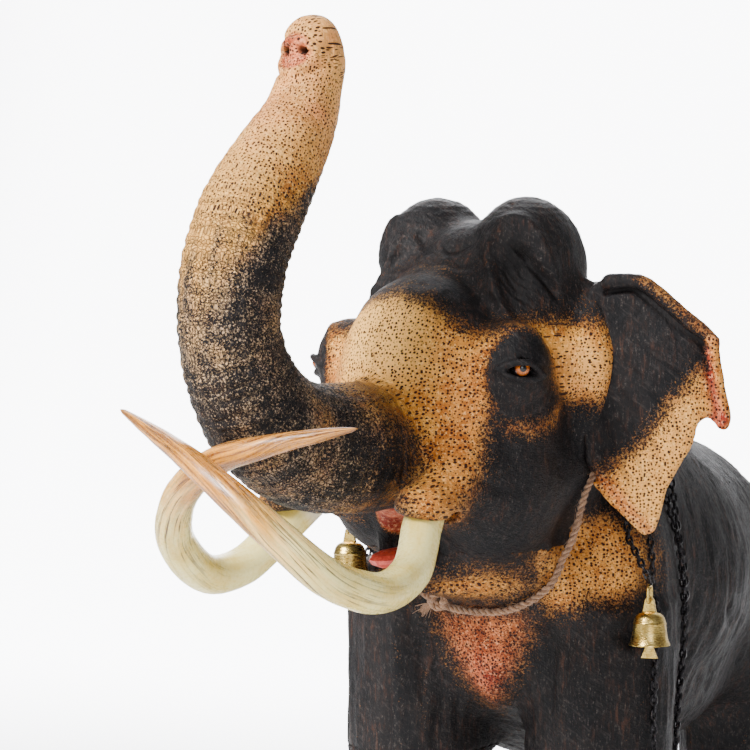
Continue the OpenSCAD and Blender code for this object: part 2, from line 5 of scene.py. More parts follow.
import bpy
import numpy as np
import openvdb as vdb
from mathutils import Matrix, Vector


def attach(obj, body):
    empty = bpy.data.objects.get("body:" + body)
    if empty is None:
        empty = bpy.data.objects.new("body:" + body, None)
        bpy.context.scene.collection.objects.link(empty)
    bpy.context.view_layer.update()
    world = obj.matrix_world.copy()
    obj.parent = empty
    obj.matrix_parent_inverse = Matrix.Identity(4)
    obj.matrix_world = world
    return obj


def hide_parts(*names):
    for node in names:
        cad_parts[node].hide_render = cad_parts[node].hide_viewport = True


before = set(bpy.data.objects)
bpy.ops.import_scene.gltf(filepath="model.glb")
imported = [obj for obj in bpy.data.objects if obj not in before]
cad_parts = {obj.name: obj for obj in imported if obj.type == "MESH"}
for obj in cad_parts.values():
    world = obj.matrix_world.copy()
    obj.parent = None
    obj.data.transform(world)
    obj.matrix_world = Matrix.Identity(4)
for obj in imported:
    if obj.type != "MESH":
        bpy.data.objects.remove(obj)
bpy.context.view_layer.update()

# ------------------------------------------------------------------ places, in mm

YAW = math.radians(20)
SHIFT = np.array([-2.0, 17.0, 0.0])
CLEFT = np.array([-2.0, -60.5, 0.0])
NECK_Y = 16.0
TRUNK_Y = -64.0
JAW_Z = 258.0
CHEST_Z = 248.0
LEG_Z = 176.0
OVERLAP = 0.5

TRUNK = np.array([
    [-64, 298, 24], [-84, 298, 23.5], [-104, 301, 22.5], [-122, 312, 20.5], [-134, 330, 18.6],
    [-137, 348, 18.2], [-134, 366, 18.4], [-125, 384, 18.4], [-112, 402, 16.2],
    [-101, 416, 13.6], [-95.5, 430, 11.8], [-93, 438, 10.9], [-94.5, 443.5, 10.4]], float)
LEFT_TUSK = [
    [34, -74, 270], [41, -88, 256], [47, -112, 251], [47, -137, 258], [37, -151, 272],
    [20, -157, 286], [-6, -156, 300], [-42, -149, 313]]
RIGHT_TUSK = [
    [-34, -73, 268], [-40, -88, 254], [-42, -107, 252], [-37, -127, 266], [-22, -139, 283],
    [1, -145, 296], [23, -144, 302], [41, -138, 306], [56, -132, 309]]
FRONT_LEG = [[26, 0], [28, 3], [28.5, 9], [27, 18], [24, 32], [22, 60], [22.5, 100], [24, 140], [26, 176], [26, 200]]
REAR_LEG = [[25, 0], [27, 3], [27.5, 9], [26, 18], [23, 32], [21, 60], [23, 100], [26, 140], [28, 176], [29, 200]]
FRONT_FOOT, REAR_FOOT = (37, -47), (40, 146)
TAIL = [
    [176, 254, 8], [187, 252, 7.6], [195, 242, 6.8], [198, 228, 6], [199, 206, 5.2],
    [199, 180, 4.4], [198, 152, 3.8], [197, 128, 3.4]]
TAIL_HAIR = [[197, 128, 3.4], [197, 120, 5], [196.5, 106, 6], [196, 92, 4.6], [195, 76, 1.6]]
COLLAR = [
    [-16, -4, 236], [0, -5, 235], [16, -3, 236], [30, 2, 245], [40, 7, 260], [44, 11, 280],
    [46, 18, 302], [43, 24, 326], [32, 24, 346], [17, 24, 358], [0, 23, 364], [-17, 24, 359],
    [-34, 25, 347], [-48, 24, 326], [-50, 18, 302], [-47, 11, 280], [-41, 7, 260], [-29, -0.4, 244.4]]
ROPE_STEPS, ROPE_GAP = 1100, 1.25
KNOT = np.array([-16.0, -6.0, 236.0])
EYE = np.array([48.5, -36.0, 327.0])
EYE_AXIS = np.array([0.8, -0.6, 0.0])
NOSTRIL = np.array([4.0, -94.5, 440.8])


def to_world(p):
    p = np.atleast_2d(np.asarray(p, float))
    c, s = math.cos(YAW), math.sin(YAW)
    return np.stack([p[:, 0] * c + p[:, 1] * s, p[:, 1] * c - p[:, 0] * s, p[:, 2]], 1) + CLEFT


def to_head(p):
    q = p - CLEFT
    c, s = math.cos(YAW), math.sin(YAW)
    return np.stack([q[:, 0] * c - q[:, 1] * s, q[:, 0] * s + q[:, 1] * c, q[:, 2]], 1)


# ------------------------------------------------------------------ camera, light and stage

def aim(obj, at):
    obj.rotation_mode = "QUATERNION"
    obj.rotation_quaternion = (Vector(at) - obj.location).to_track_quat("-Z", "Y")


def camera():
    """Looks at the figure from 20 degrees round to its left and 2 degrees above, with a long lens."""
    target = to_world([0, 0, 322.4])[0] / 1000
    a, e, away = math.radians(20), math.radians(2), 1.25
    forward = np.array([-math.sin(a) * math.cos(e), math.cos(a) * math.cos(e), -math.sin(e)])
    right = np.array([math.cos(a), math.sin(a), 0])
    data = bpy.data.cameras.new("camera")
    data.sensor_width = 36
    data.lens = 157.9
    data.clip_start, data.clip_end = 0.1, 20
    cam = bpy.data.objects.new("camera", data)
    bpy.context.scene.collection.objects.link(cam)
    cam.location = target - forward * away
    aim(cam, target - right * 0.0406)
    bpy.context.scene.camera = cam


def lamp(name, spot, at, size, power):
    data = bpy.data.lights.new(name, "AREA")
    data.shape = "RECTANGLE"
    data.size, data.size_y = size
    data.energy = power
    obj = bpy.data.objects.new(name, data)
    bpy.context.scene.collection.objects.link(obj)
    obj.location = spot
    aim(obj, at)


camera()

# ------------------------------------------------------------------ small maths

CELLS = 48
LATTICE = np.random.default_rng(11).random((CELLS, CELLS, CELLS)).astype(np.float32)


def noise(p, size, seed=0.0):
    """Smooth value noise from -1 to 1; size is the cell in mm, one number or three."""
    q = p / np.asarray(size, float) + 300.0 + seed * 17.31
    i = np.floor(q).astype(np.int64)
    f = (q - i).astype(np.float32)
    f = f * f * (3 - 2 * f)
    i %= CELLS
    j = (i + 1) % CELLS
    out = 0
    for a in (0, 1):
        x = j[:, 0] if a else i[:, 0]
        wx = f[:, 0] if a else 1 - f[:, 0]
        for b in (0, 1):
            y = j[:, 1] if b else i[:, 1]
            wy = f[:, 1] if b else 1 - f[:, 1]
            out = out + wx * wy * ((1 - f[:, 2]) * LATTICE[x, y, i[:, 2]] + f[:, 2] * LATTICE[x, y, j[:, 2]])
    return out * 2 - 1


def fbm(p, size, octaves=3, seed=0.0):
    """Noise summed over octaves, each half the size and half the strength of the one before."""
    size = np.asarray(size, float)
    return sum(noise(p, size / 2 ** k, seed + k) / 2 ** k for k in range(octaves))


def ramp(x, a, b):
    """0 at a, 1 at b, and smooth between them."""
    t = np.clip((x - a) / (b - a), 0, 1)
    return t * t * (3 - 2 * t)


def peak(x, width, power=2):
    """1 at 0, falling off on both sides."""
    return np.exp(-(x / width) ** power)


def plane(u, v):
    """Points in a plane, as three columns."""
    return np.stack([u, v, 0 * u], 1)


def catmull(points, count, closed=False):
    """A smooth line through the points."""
    p = np.asarray(points, float)
    n = len(p)
    t = np.arange(count) * (n if closed else n - 1) / (count if closed else count - 1)
    i = np.minimum(np.floor(t).astype(int), n - 1 if closed else n - 2)
    s = (t - i)[:, None]
    pick = (lambda k: p[k % n]) if closed else (lambda k: p[np.clip(k, 0, n - 1)])
    a, b, c, d = pick(i - 1), pick(i), pick(i + 1), pick(i + 2)
    return 0.5 * (2 * b + (c - a) * s + (2 * a - 5 * b + 4 * c - d) * s ** 2 + (3 * b - a - 3 * c + d) * s ** 3)


def even(line, count, closed=False):
    """The same line with its points an even distance apart."""
    q = np.vstack([line, line[:1]]) if closed else line
    length = np.concatenate([[0], np.cumsum(np.linalg.norm(np.diff(q, axis=0), axis=1))])
    t = np.linspace(0, length[-1], count, endpoint=not closed)
    return np.stack([np.interp(t, length, q[:, k]) for k in range(q.shape[1])], 1), length[-1]


def smin(a, b, k):
    """The lesser of two fields, rounded over k mm where they meet."""
    h = np.clip(0.5 + 0.5 * (b - a) / k, 0, 1)
    return b + (a - b) * h - k * h * (1 - h)


def smax(a, b, k):
    return -smin(-a, -b, k)


def ellipsoid(q, r):
    k0 = np.sqrt(((q / r) ** 2).sum(1))
    k1 = np.sqrt(((q / (r * r)) ** 2).sum(1))
    return k0 * (k0 - 1) / np.maximum(k1, 1e-6)


def egg(p, c, r):
    """Distance to an ellipsoid with centre c and half axes r."""
    return ellipsoid(p - np.asarray(c, float), np.asarray(r, float))


def slide(p, a, ra, b, rb):
    """The egg at a, swept to the egg at b."""
    a, b, ra, rb = (np.asarray(v, float) for v in (a, b, ra, rb))
    ab = b - a
    t = np.clip((p - a) @ ab / (ab @ ab), 0, 1)[:, None]
    return ellipsoid(p - a - t * ab, ra + t * (rb - ra))


def blend(p, forms):
    """Eggs and swept eggs joined in turn; each form begins with how soft its joint is, in mm."""
    d = None
    for soft, *form in forms:
        e = (egg if len(form) == 2 else slide)(p, *form)
        d = e if d is None else smin(d, e, soft)
    return d


def tube(p, line, radius):
    """Distance to a round bar along a line, with a radius at each point."""
    best = np.full(len(p), 1e9)
    for a, b, ra, rb in zip(line[:-1], line[1:], radius[:-1], radius[1:]):
        ab = b - a
        t = np.clip((p - a) @ ab / (ab @ ab), 0, 1)
        d = np.linalg.norm(p - a - t[:, None] * ab, axis=1) - (ra + t * (rb - ra))
        best = np.minimum(best, d)
    return best


def nearest(p, line):
    """For each point: distance along the line, distance from it, the way over to it, and the line's way there."""
    best = np.full(len(p), 1e9)
    along = np.zeros(len(p))
    off = np.zeros((len(p), 3))
    way = np.zeros((len(p), 3))
    run = 0.0
    for a, b in zip(line[:-1], line[1:]):
        ab = b - a
        size = np.linalg.norm(ab)
        t = np.clip((p - a) @ ab / (ab @ ab), 0, 1)
        v = p - a - t[:, None] * ab
        d = np.linalg.norm(v, axis=1)
        m = d < best
        best[m], along[m], off[m], way[m] = d[m], (run + t * size)[m], v[m], ab / size
        run += size
    return along, best, off, way


# ------------------------------------------------------------------ the carved figure as one distance field

TRUNK_STEPS = 34
TRUNK_FINE = catmull(TRUNK, TRUNK_STEPS)
TRUNK_LINE = np.stack([np.zeros(TRUNK_STEPS), TRUNK_FINE[:, 0], TRUNK_FINE[:, 1]], 1)
TRUNK_RADIUS = TRUNK_FINE[:, 2]


def fold(p):
    """The same points with their right side laid over the left."""
    m = p.copy()
    m[:, 0] = np.abs(m[:, 0])
    return m


# [softness, centre, half axes], twice over where the form is swept; X is taken positive
HEAD_FORMS = [
    [0, (0, 8, 308), (44, 36, 55)],
    [8, (0, -32, 308), (38, 32, 42)],
    [10, (0, -30, 333), (31, 28, 28.5)],
    [8, (24, -20, 288), (24, 32, 34), (34, -24, 318), (16, 20, 22)],
    [7, (40, -30, 328), (12.5, 13, 16)],
    [6, (0, -3, 350), (25, 29, 31)],
    [5, (15, -4, 332), (29, 33, 38), (22, 0, 363), (21, 24.5, 27)],
    [7, (45, 8.5, 328), (9.5, 7, 30)],
    [8, (27, -46, 288), (15, 15, 16), (31.5, -64, 279), (11, 11, 11)],
    [8, (0, -42, 300), (27, 24, 24)],
]
JAW_FORMS = [
    [0, (0, -4, 256), (34, 20, 19), (0, -44, 256), (14, 14, 12)],
    [4, (0, -44, 254), (13, 12, 10), (0, -54, 250), (6, 6, 6)],
    [12, (0, 21, 243), (38, 26, 24)],
]
BODY_FORMS = [
    [0, (0, 50, 238), (67, 90, 62), (0, 110, 236), (62, 76, 58)],
    [10, (0, -14, 266), (54, 50, 62), (0, 50, 240), (63, 68, 62)],
    [10, (0, -48, 222), (32, 28, 32)],
    [8, (44, -34, 232), (20, 34, 50)],
    [8, (42, -44, 250), (16, 26, 30)],
    [8, (37, -43, 214), (26, 30, 36), (37, -46, 178), (26, 27, 12)],
    [12, (40, 134, 218), (30, 48, 44), (40, 146, 178), (28, 28, 10)],
    [14, (0, 56, 192), (50, 98, 32)],
]


def trunk_field(h):
    return tube(h, TRUNK_LINE, TRUNK_RADIUS)


def leg_tube(b, x, y, outline):
    q = np.hypot(np.abs(b[:, 0]) - x, b[:, 1] - y)
    r = np.interp(b[:, 2], [v[1] for v in outline], [v[0] for v in outline])
    return np.maximum(np.maximum((q - r) * 0.98, -b[:, 2]), b[:, 2] - 232)


def legs_field(b):
    return np.minimum(leg_tube(b, *FRONT_FOOT, FRONT_LEG), leg_tube(b, *REAR_FOOT, REAR_LEG))


def body_field(w):
    """The barrel, shoulders, hips, chest and legs, in world millimetres."""
    b = w - SHIFT
    return smin(blend(fold(b), BODY_FORMS), legs_field(b), 9)


def neck_field(w):
    h = to_head(w)
    b = w - SHIFT
    skull = egg(h, (0, 14, 308), (44, 30, 56))
    mid = egg(b, (-4, -40, 292), (46, 30, 56))
    return smin(smin(skull, mid, 12), egg(b, (0, -14, 274), (48, 26, 58)), 12)


def carved(w):
    """The whole carved figure without its trunk and cuts."""
    h = to_head(w)
    room = np.maximum(h[:, 1] - NECK_Y, 250 - h[:, 2])
    d = smax(body_field(w), -room, 8)
    d = smin(d, neck_field(w), 12)
    d = smin(d, blend(fold(h), HEAD_FORMS), 8)
    return smin(d, blend(h, JAW_FORMS), 8)


# ------------------------------------------------------------------ the figure's separate parts

def mouth_cut(h, d):
    """Hollows the open mouth out of a field."""
    return smax(d, -egg(h, (0, -56, 259), (17, 26, 13)), 2)


def rod(h, start, way, radius):
    """Distance to an endless rod, and how far along it each point lies."""
    way = np.asarray(way, float) / np.linalg.norm(way)
    q = h - np.asarray(start, float)
    t = q @ way
    return np.linalg.norm(q - t[:, None] * way, axis=1) - radius, t


LID_TOP = [
    [-8.6, -2.6, 0.4], [-6.2, -0.4, 1.7], [-3.4, 1.6, 3.3], [0, 2.3, 4.0], [3.4, 1.9, 3.4],
    [6.2, 0.6, 1.8], [8.6, -0.8, 0.2]]
LID_LOW = [
    [-8.6, -2.6, 0.4], [-6.0, -3.6, 1.5], [-3.2, -4.1, 2.4], [0, -4.0, 2.7], [3.2, -3.4, 2.5],
    [6.0, -2.2, 1.4], [8.6, -0.8, 0.2]]


def eye_local(h):
    """Round the left eye: forwards, up and out."""
    q = fold(h) - EYE
    return np.stack([q @ np.cross([0, 0, 1.0], EYE_AXIS) * -1, q[:, 2], q @ EYE_AXIS], 1)


def eye_socket(h, d):
    """Cuts an almond round the glass ball and lays the lids over its edge."""
    e = eye_local(h)
    near = np.linalg.norm(e, axis=1) < 22
    q = e[near]
    out = smax(d[near], -egg(q, (0, -0.8, 3.2), (7.6, 3.4, 3.0)), 1.0)
    for line, r in ((LID_TOP, 1.35), (LID_LOW, 1.1)):
        pts = catmull(line, 22)
        out = smin(out, tube(q, pts, np.full(22, r)), 0.9)
    pts = catmull(np.array(LID_TOP, float) + [0, 2.9, 0.2], 18)
    out = smax(out, -tube(q, pts, np.full(18, 0.75)), 0.9)
    out = smax(out, -(np.linalg.norm(q, axis=1) - 4.05), 0.3)
    d[near] = out
    return d


def trunk_zone(h):
    """Where the skin belongs to the trunk rather than to the head."""
    return np.maximum(trunk_field(h) - 2.5, h[:, 1] - TRUNK_Y)


def face(w, h):
    """The figure with its trunk and open mouth."""
    return mouth_cut(h, smin(carved(w), trunk_field(h), 6))


def head_part(w):
    """The head, with a lip over each tusk's root and sockets for the eyes."""
    h = to_head(w)
    full = face(w, h)
    for line in (LEFT_TUSK, RIGHT_TUSK):
        root = np.array(line[0], float)
        way = line[1] - root
        edge = root[2] + 5.0 - 0.22 * (h[:, 0] - root[0]) * np.sign(root[0])
        lip = smax(egg(h, root + [0, 1.0, 8.5], (10.2, 11.0, 8.5)), edge - h[:, 2], 1.5)
        wall, _ = rod(h, root, way, 12.5)
        full = smax(full, -np.maximum(wall, h[:, 2] - root[2] - 6.0), 2.0)
        full = smin(full, lip, 3)
    full = eye_socket(h, full)
    part = np.maximum(h[:, 1] - NECK_Y - OVERLAP, JAW_Z - OVERLAP - h[:, 2])
    return np.maximum(np.maximum(full, part), -(trunk_zone(h) + OVERLAP))


def trunk_part(w):
    """The trunk, with its two nostrils."""
    h = to_head(w)
    full = face(w, h)
    for side in (-1, 1):
        wall, t = rod(h, NOSTRIL * [side, 1, 1], (0, -1, 0.05), 2.0)
        full = smax(full, -np.maximum(wall, 3 - t), 1.4)
    return np.maximum(full, trunk_zone(h) - OVERLAP)


def jaw_part(w):
    h = to_head(w)
    part = np.maximum(h[:, 1] - NECK_Y - OVERLAP, np.abs(h[:, 2] - 253) - 5 - OVERLAP)
    return np.maximum(mouth_cut(h, carved(w)), part)


def round_leg(w, spare):
    """Distance to the upright cylinders in which the legs part from the torso."""
    x, y = np.abs(w[:, 0] - SHIFT[0]), w[:, 1] - SHIFT[1]
    front = np.hypot(x - FRONT_FOOT[0], y - FRONT_FOOT[1]) - 33 - spare
    return np.minimum(front, np.hypot(x - REAR_FOOT[0], y - REAR_FOOT[1]) - 35 - spare)


def torso_part(w):
    """The torso below and behind the head, with room for the left bell's swing."""
    h = to_head(w)
    front = np.maximum(h[:, 1] - NECK_Y + OVERLAP, CHEST_Z + OVERLAP - h[:, 2])
    below = np.maximum(w[:, 2] - LEG_Z + OVERLAP, round_leg(w, 0))
    room = slide(w - LEFT_BELL - SHIFT, (-2, 0, -6), (8, 8, 5), (-4.6, 0, -13), (9.6, 9.6, 6.5))
    full = smax(carved(w), -room, 2.5)
    return np.maximum(full, np.maximum(np.maximum(-front, -below), 156 - w[:, 2]))


def leg_part(w):
    return np.maximum(body_field(w), np.maximum(w[:, 2] - LEG_Z - OVERLAP, round_leg(w, OVERLAP)))


EAR_TURN = math.radians(36)
EAR_SIDE = np.array([math.cos(EAR_TURN), math.sin(EAR_TURN), 0])
EAR_BACK = np.array([-math.sin(EAR_TURN), math.cos(EAR_TURN), 0])
EAR_ROOT = np.array([50.0, 9.5, 0.0])
EAR_OUTLINE = [
    [-6, 352], [-3, 357.5], [5, 360.6], [14.5, 360.4], [22, 356], [31, 348], [38.5, 341], [42.5, 334],
    [44.2, 326], [45.8, 316], [47.6, 307.5], [46.4, 304.3], [43.4, 303.4], [41.2, 305.4], [39, 306.8],
    [36.6, 304.8], [35.4, 300.5], [33.4, 295.5], [30, 290], [27, 285], [24.8, 280.6], [23.6, 275.5],
    [22, 269], [20.2, 265], [17, 263.8], [13.6, 266.4], [8, 271.8], [2.6, 277.6], [-1.6, 283.5],
    [-6, 292], [-8, 310], [-8, 335]]
EAR_TOP_FOLD = [[3, 357.8], [12, 358.2], [18, 355.8], [25, 350], [32, 343.8], [38, 339], [40.8, 335.6]]
EAR_REAR_FOLD = [[40.8, 336], [42.2, 327], [43.9, 317], [45.6, 308.6], [45.2, 305.4]]
EAR_TOP_CREASE = [[2, 354], [9, 355.2], [14.4, 353.9], [21.8, 347.4], [29.2, 341], [36, 336.6], [39, 334]]
EAR_REAR_CREASE = [[38.6, 333], [39.4, 327], [41.2, 317.8], [43.4, 308.6]]
EAR_FRONT_ROLL = [[-1.4, 283.4], [3.4, 278], [9, 272.4], [16, 265.8]]


def to_ear(h):
    """Across the ear, behind its plane, and up."""
    q = fold(h) - EAR_ROOT
    return np.stack([q @ EAR_SIDE, q @ EAR_BACK, q[:, 2]], 1)


def outline_distance(p, outline):
    """Signed distance in a plane to a closed outline."""
    v = np.asarray(outline, float)
    best = np.full(len(p), 1e9)
    inside = np.zeros(len(p), bool)
    for a, b in zip(v, np.roll(v, -1, 0)):
        ab = b - a
        q = p - a
        t = np.clip(q @ ab / (ab @ ab), 0, 1)
        best = np.minimum(best, np.linalg.norm(q - t[:, None] * ab, axis=1))
        cross = (a[1] > p[:, 1]) != (b[1] > p[:, 1])
        with np.errstate(divide="ignore", invalid="ignore"):
            x = a[0] + (p[:, 1] - a[1]) / (b[1] - a[1]) * ab[0]
        inside ^= cross & (p[:, 0] < x)
    return np.where(inside, -best, best)


EAR_FINE = catmull(EAR_OUTLINE, 128, True)


def ear_sheet(s, z):
    """How far the ear's middle lies behind its plane."""
    u = np.clip(s / 45, 0, 1)
    bow = -5.5 * np.sin(np.pi * u) * np.sin(np.pi * np.clip((z - 262) / 102, 0.05, 0.95))
    wave = 1.1 * np.sin(z / 9.5 + 0.6) * u * (1 - ramp(z, 320, 350))
    return bow + wave + 2.2 * ramp(s, 30, 46) * ramp(z, 300, 340)


def ear_bar(e, line, r, out):
    """Distance to a bar that lies on the ear, out mm in front of its middle."""
    s, z = catmull(line, 16).T
    pts = np.stack([s, ear_sheet(s, z) - out, z], 1)
    return tube(e, pts, np.full(len(pts), r))


def ear_field(h):
    """One ear, in the head's frame: a bowed sheet with rolled and creased edges."""
    e = to_ear(h)
    s, w, z = e[:, 0], e[:, 1], e[:, 2]
    middle = ear_sheet(s, z)
    flat = outline_distance(np.stack([s, z], 1), EAR_FINE)
    thick = 2.9 - 1.7 * ramp(s, 0, 30)
    d = smax(np.abs(w - middle) - thick, flat + 0.6, 2.0)
    for line, r, out in ((EAR_TOP_FOLD, 3.0, 1.9), (EAR_REAR_FOLD, 2.3, 1.6), (EAR_FRONT_ROLL, 1.6, 0.4)):
        d = smin(d, ear_bar(e, line, r, out), 1.0)
    for line, r in ((EAR_TOP_CREASE, 1.25), (EAR_REAR_CREASE, 1.0)):
        d = smax(d, -ear_bar(e, line, r, 1.9), 1.0)
    root = slide(fold(h), (44, 13.5, 348), (7, 5, 10), (44, 14, 298), (6, 5, 12))
    return smin(d, root, 4)


# ------------------------------------------------------------------ chisel marks, paint masks and painted shade

def stroke(p, points, width, height):
    """The lift of a ridge (or cut, when height is negative) along a line, fading at its ends."""
    line = catmull(points, 18)
    near = np.all((p > line.min(0) - 3 * width) & (p < line.max(0) + 3 * width), axis=1)
    out = np.zeros(len(p))
    if near.any():
        along, off, _, _ = nearest(p[near], line)
        total = np.linalg.norm(np.diff(line, axis=0), axis=1).sum()
        fade = ramp(along, 0, total * 0.22) * (1 - ramp(along, total * 0.78, total))
        out[near] = height * peak(off, width) * fade
    return out


def blob(p, centre, size, height=1.0):
    """A soft bump, height at its centre."""
    q = (p - np.asarray(centre, float)) / np.asarray(size, float)
    return height * np.exp(-(q ** 2).sum(1))


def patch(u, v, outline, soft, scale=1):
    """1 inside a closed outline and 0 outside it, with a soft edge; scale turns u into mm."""
    d = outline_distance(np.stack([u * scale, v], 1), np.array(outline, float) * [scale, 1])
    return 1 - ramp(d, -soft, soft)


HEAD_STROKES = [
    # [points, width, height]
    ([[0, -26, 370.3], [7, -24, 370.6], [13, -20, 374], [17, -18, 378]], 2.0, -1.5),
    ([[0, -28, 366], [9, -27, 366.5], [17, -24, 369]], 2.6, 1.0),
    ([[0, -31, 362], [11, -30.5, 361.5], [20, -27, 359], [27, -27, 354], [32, -27, 348]], 3.2, 1.7),
    ([[22, -21, 378], [23.5, -24, 368], [26.6, -25.4, 360.5], [30.6, -26.2, 351.3],
      [34, -26, 345], [38, -24, 341]], 2.3, 2.7),
    ([[21, -20, 381], [27.7, -17, 382], [33, -14, 380], [38.2, -12, 373],
      [41.4, -9.2, 364], [42.6, -4.7, 353]], 2.8, 2.0),
    ([[30.5, -20.5, 374], [34.5, -18, 369], [38, -14.5, 363], [41, -10, 357], [43, -5, 350]], 1.6, -2.8),
    ([[28, -22.5, 368], [31, -22, 361], [34.5, -20.5, 354], [38, -18, 348]], 1.3, -1.2),
    ([[34, -17.5, 374], [37.5, -14, 368.5], [40.3, -10, 362.5]], 1.1, 0.9),
    ([[27, -24, 365], [29, -24.5, 358], [32, -24.5, 351]], 1.0, -0.7),
    ([[33, -42, 338], [39, -43, 342], [45, -38, 343], [49, -30, 341], [50, -22, 337]], 2.8, 1.5),
    ([[38, -45, 318], [44, -41.5, 313.5], [49, -34, 312.4], [51.5, -26, 315.5], [52, -19, 321]], 1.3, -0.9),
    ([[37.5, -46, 312], [44, -41, 308.6], [49, -32, 308.4], [51, -22, 312.5]], 1.3, -0.7),
    ([[39, -45, 323], [36.6, -46.5, 319], [36, -47, 313]], 1.4, -0.7),
    ([[52.5, -26, 324], [52, -20, 320], [50, -12, 315], [47, -3, 309]], 1.8, -0.8),
    ([[45.5, 10, 350], [46.5, 8.5, 335], [47, 8, 320], [46, 8, 306]], 2.0, -2.0),
    ([[40, -36, 303], [44, -26, 297], [45, -12, 291], [42, 0, 285]], 4.0, -0.9),
    ([[30, -66, 289], [37, -58, 288], [42, -48, 286], [44, -36, 280]], 2.2, -0.8),
    ([[18, -74, 292], [24, -69, 292], [31, -66, 289.5]], 2.0, -0.9),
    ([[24, -74, 282], [31, -72, 284.5], [37.5, -66, 283], [41, -60, 278]], 1.6, 0.7),
]
EYE_ACROSS = np.cross(EYE_AXIS, [0, 0, 1.0])


def head_lift(h):
    """How far the chisel leaves the head's skin above or below the plain form."""
    m = fold(h)
    d = sum(stroke(m, *s) for s in HEAD_STROKES)
    d += blob(m, (33.5, -20, 362), (6.5, 7, 11), -4.2)
    d += blob(m, (44, 3, 330), (12, 9, 11), 5.6)
    d += blob(m, (43, -22, 296), (9, 14, 9), 0.8)
    d += 0.34 * fbm(h, (9, 9, 12), 3, 1) + 0.14 * noise(h, (1.8, 1.8, 5), 4)
    hollow = blob(m, (33.5, -20, 362), (9, 9, 13))
    d += hollow * 0.45 * np.sin((h[:, 2] + m[:, 0]) * 2.1 + noise(h, 5, 7) * 2)
    crown = ramp(h[:, 2], 366, 382)
    d += crown * 0.06 * np.sin(h[:, 2] * 3.0 + 3 * noise(h, (7, 7, 14), 12))
    return d


# outlines of painted patches: degrees round the head, and mm up
FACE = [
    [-4, 356], [12, 353.5], [22, 351], [34, 343.5], [43, 339], [54, 339.5], [63, 341.5], [82, 343], [95, 343],
    [107, 342], [116, 334], [115, 322], [106, 313], [92, 315.5], [80, 323], [78, 333], [66, 337.8],
    [56, 337.5], [51.4, 330], [49, 321], [51, 315], [48.5, 304.5], [46, 290], [42, 280], [38, 272], [31, 271],
    [26, 277], [19, 286], [17, 297],
    [15, 306], [10, 315], [-4, 321]]
UNDER_EYE = [
    [49.5, 308], [57, 303.5], [66, 301], [76, 302], [88, 307], [98, 313], [93, 318], [82, 312], [70, 307],
    [58, 308.5]]


def head_map(h):
    """Round the head's upright axis in mm, and up; with the bearing in degrees."""
    bearing = np.degrees(np.arctan2(h[:, 0], -(h[:, 1] + 10)))
    side = np.sign(h[:, 0])
    cheek = ramp(blob(fold(h), (48, -2, 329), (13, 14, 17)), 0.12, 0.6)
    around = bearing * 0.8 * (1 - cheek) + side * (31.5 + 0.85 * np.abs(h[:, 0]) + 0.5 * h[:, 1]) * cheek
    return plane(around, h[:, 2]), bearing


def face_paint(h):
    """Where the pattern lies on the head, and how tan, red and pale the paint is there."""
    flat, bearing = head_map(h)
    turn = np.abs(bearing)
    m = fold(h)
    tan = patch(turn, h[:, 2], FACE, 9.0, 0.8)
    tan = np.maximum(tan, blob(m, (46, 0, 329), (11, 13, 13)) ** 0.7)
    tan *= 1 - 0.80 * blob(m, (20, -77, 297), (13, 14, 11)) ** 0.6
    tan *= 1 - 0.35 * blob(m, (12, -52, 357), (30, 14, 7))
    tan = np.maximum(tan, 0.62 * patch(turn, h[:, 2], UNDER_EYE, 5.5, 0.8))
    tan = np.maximum(tan, 0.55 * blob(m, (36, -55, 293), (10, 12, 9)))
    tan = np.maximum(tan, 0.20 * blob(m, (0, -30, 362), (30, 12, 5)))
    across = (m - EYE) @ EYE_ACROSS
    oval = np.sqrt(((m[:, 2] - 325.5 + 0.12 * across) / 14.5) ** 2 + (across / 11.5) ** 2)
    tan *= 1 - (1 - ramp(oval, 0.86, 1.16)) * ramp(m[:, 0], 30, 38)
    pale = 0.9 * peak(turn - 8, 20) * ramp(h[:, 2], 312, 332)
    pale = np.maximum(pale, 0.30 * blob(m, (40, -66, 276), (12, 10, 8)))
    pale = np.maximum(pale, 0.65 * blob(m, (48, 1, 326), (12, 12, 10)))
    red = 0.22 * ramp(turn, 20, 40) * (1 - ramp(h[:, 2], 320, 345))
    red = np.maximum(red, 0.30 * blob(m, (46, 2, 318), (9, 12, 7)))
    return flat, tan, red, pale


def inside_mouth(h):
    return 1 - ramp(egg(h, (-1, -47, 268), (11, 16, 11)), -0.5, 2.5)


def coat(skin, tan, red, pale, dots, wrinkled, shade):
    """What the paint and the painted shade read at each point of the skin."""
    full = [np.clip(np.broadcast_to(a, (len(skin),)), 0, 1) for a in (tan, red, pale, dots, wrinkled, shade)]
    return {"skin": skin, "paint": np.stack(full[:3], 1), "mark": np.stack(full[3:], 1)}


def head_skin(w, n):
    h = to_head(w)
    lift = head_lift(h)
    flat, tan, red, pale = face_paint(h)
    m = fold(h)
    # painted shade where the chisel cuts sink below the plain form
    shade = np.clip(-lift * 0.30 - 0.10, 0, 0.55)
    mouth = inside_mouth(h)
    tan, red = np.maximum(tan * (1 - mouth), mouth * 0.9), np.maximum(red * (1 - mouth), mouth)
    lids = ramp(np.linalg.norm(m - EYE, axis=1), 7.5, 5.5)
    wrinkled = 0.22 * (1 - ramp(h[:, 2], 290, 330)) + 0.35 * blob(m, (20, -72, 286), (14, 14, 16))
    w = w + n * (lift * (1 - 0.8 * lids))[:, None]
    # more painted shade inside the open mouth
    return w, coat(flat, tan, red, pale, 1 - mouth, wrinkled, shade + 0.25 * mouth)


def trunk_map(h):
    """How far up the trunk each point lies, and its bearing round it in degrees."""
    along, _, away, way = nearest(h, TRUNK_LINE)
    outer = np.cross([1.0, 0, 0], way)
    return along, np.degrees(np.arctan2(h[:, 0], (away * outer).sum(1)))


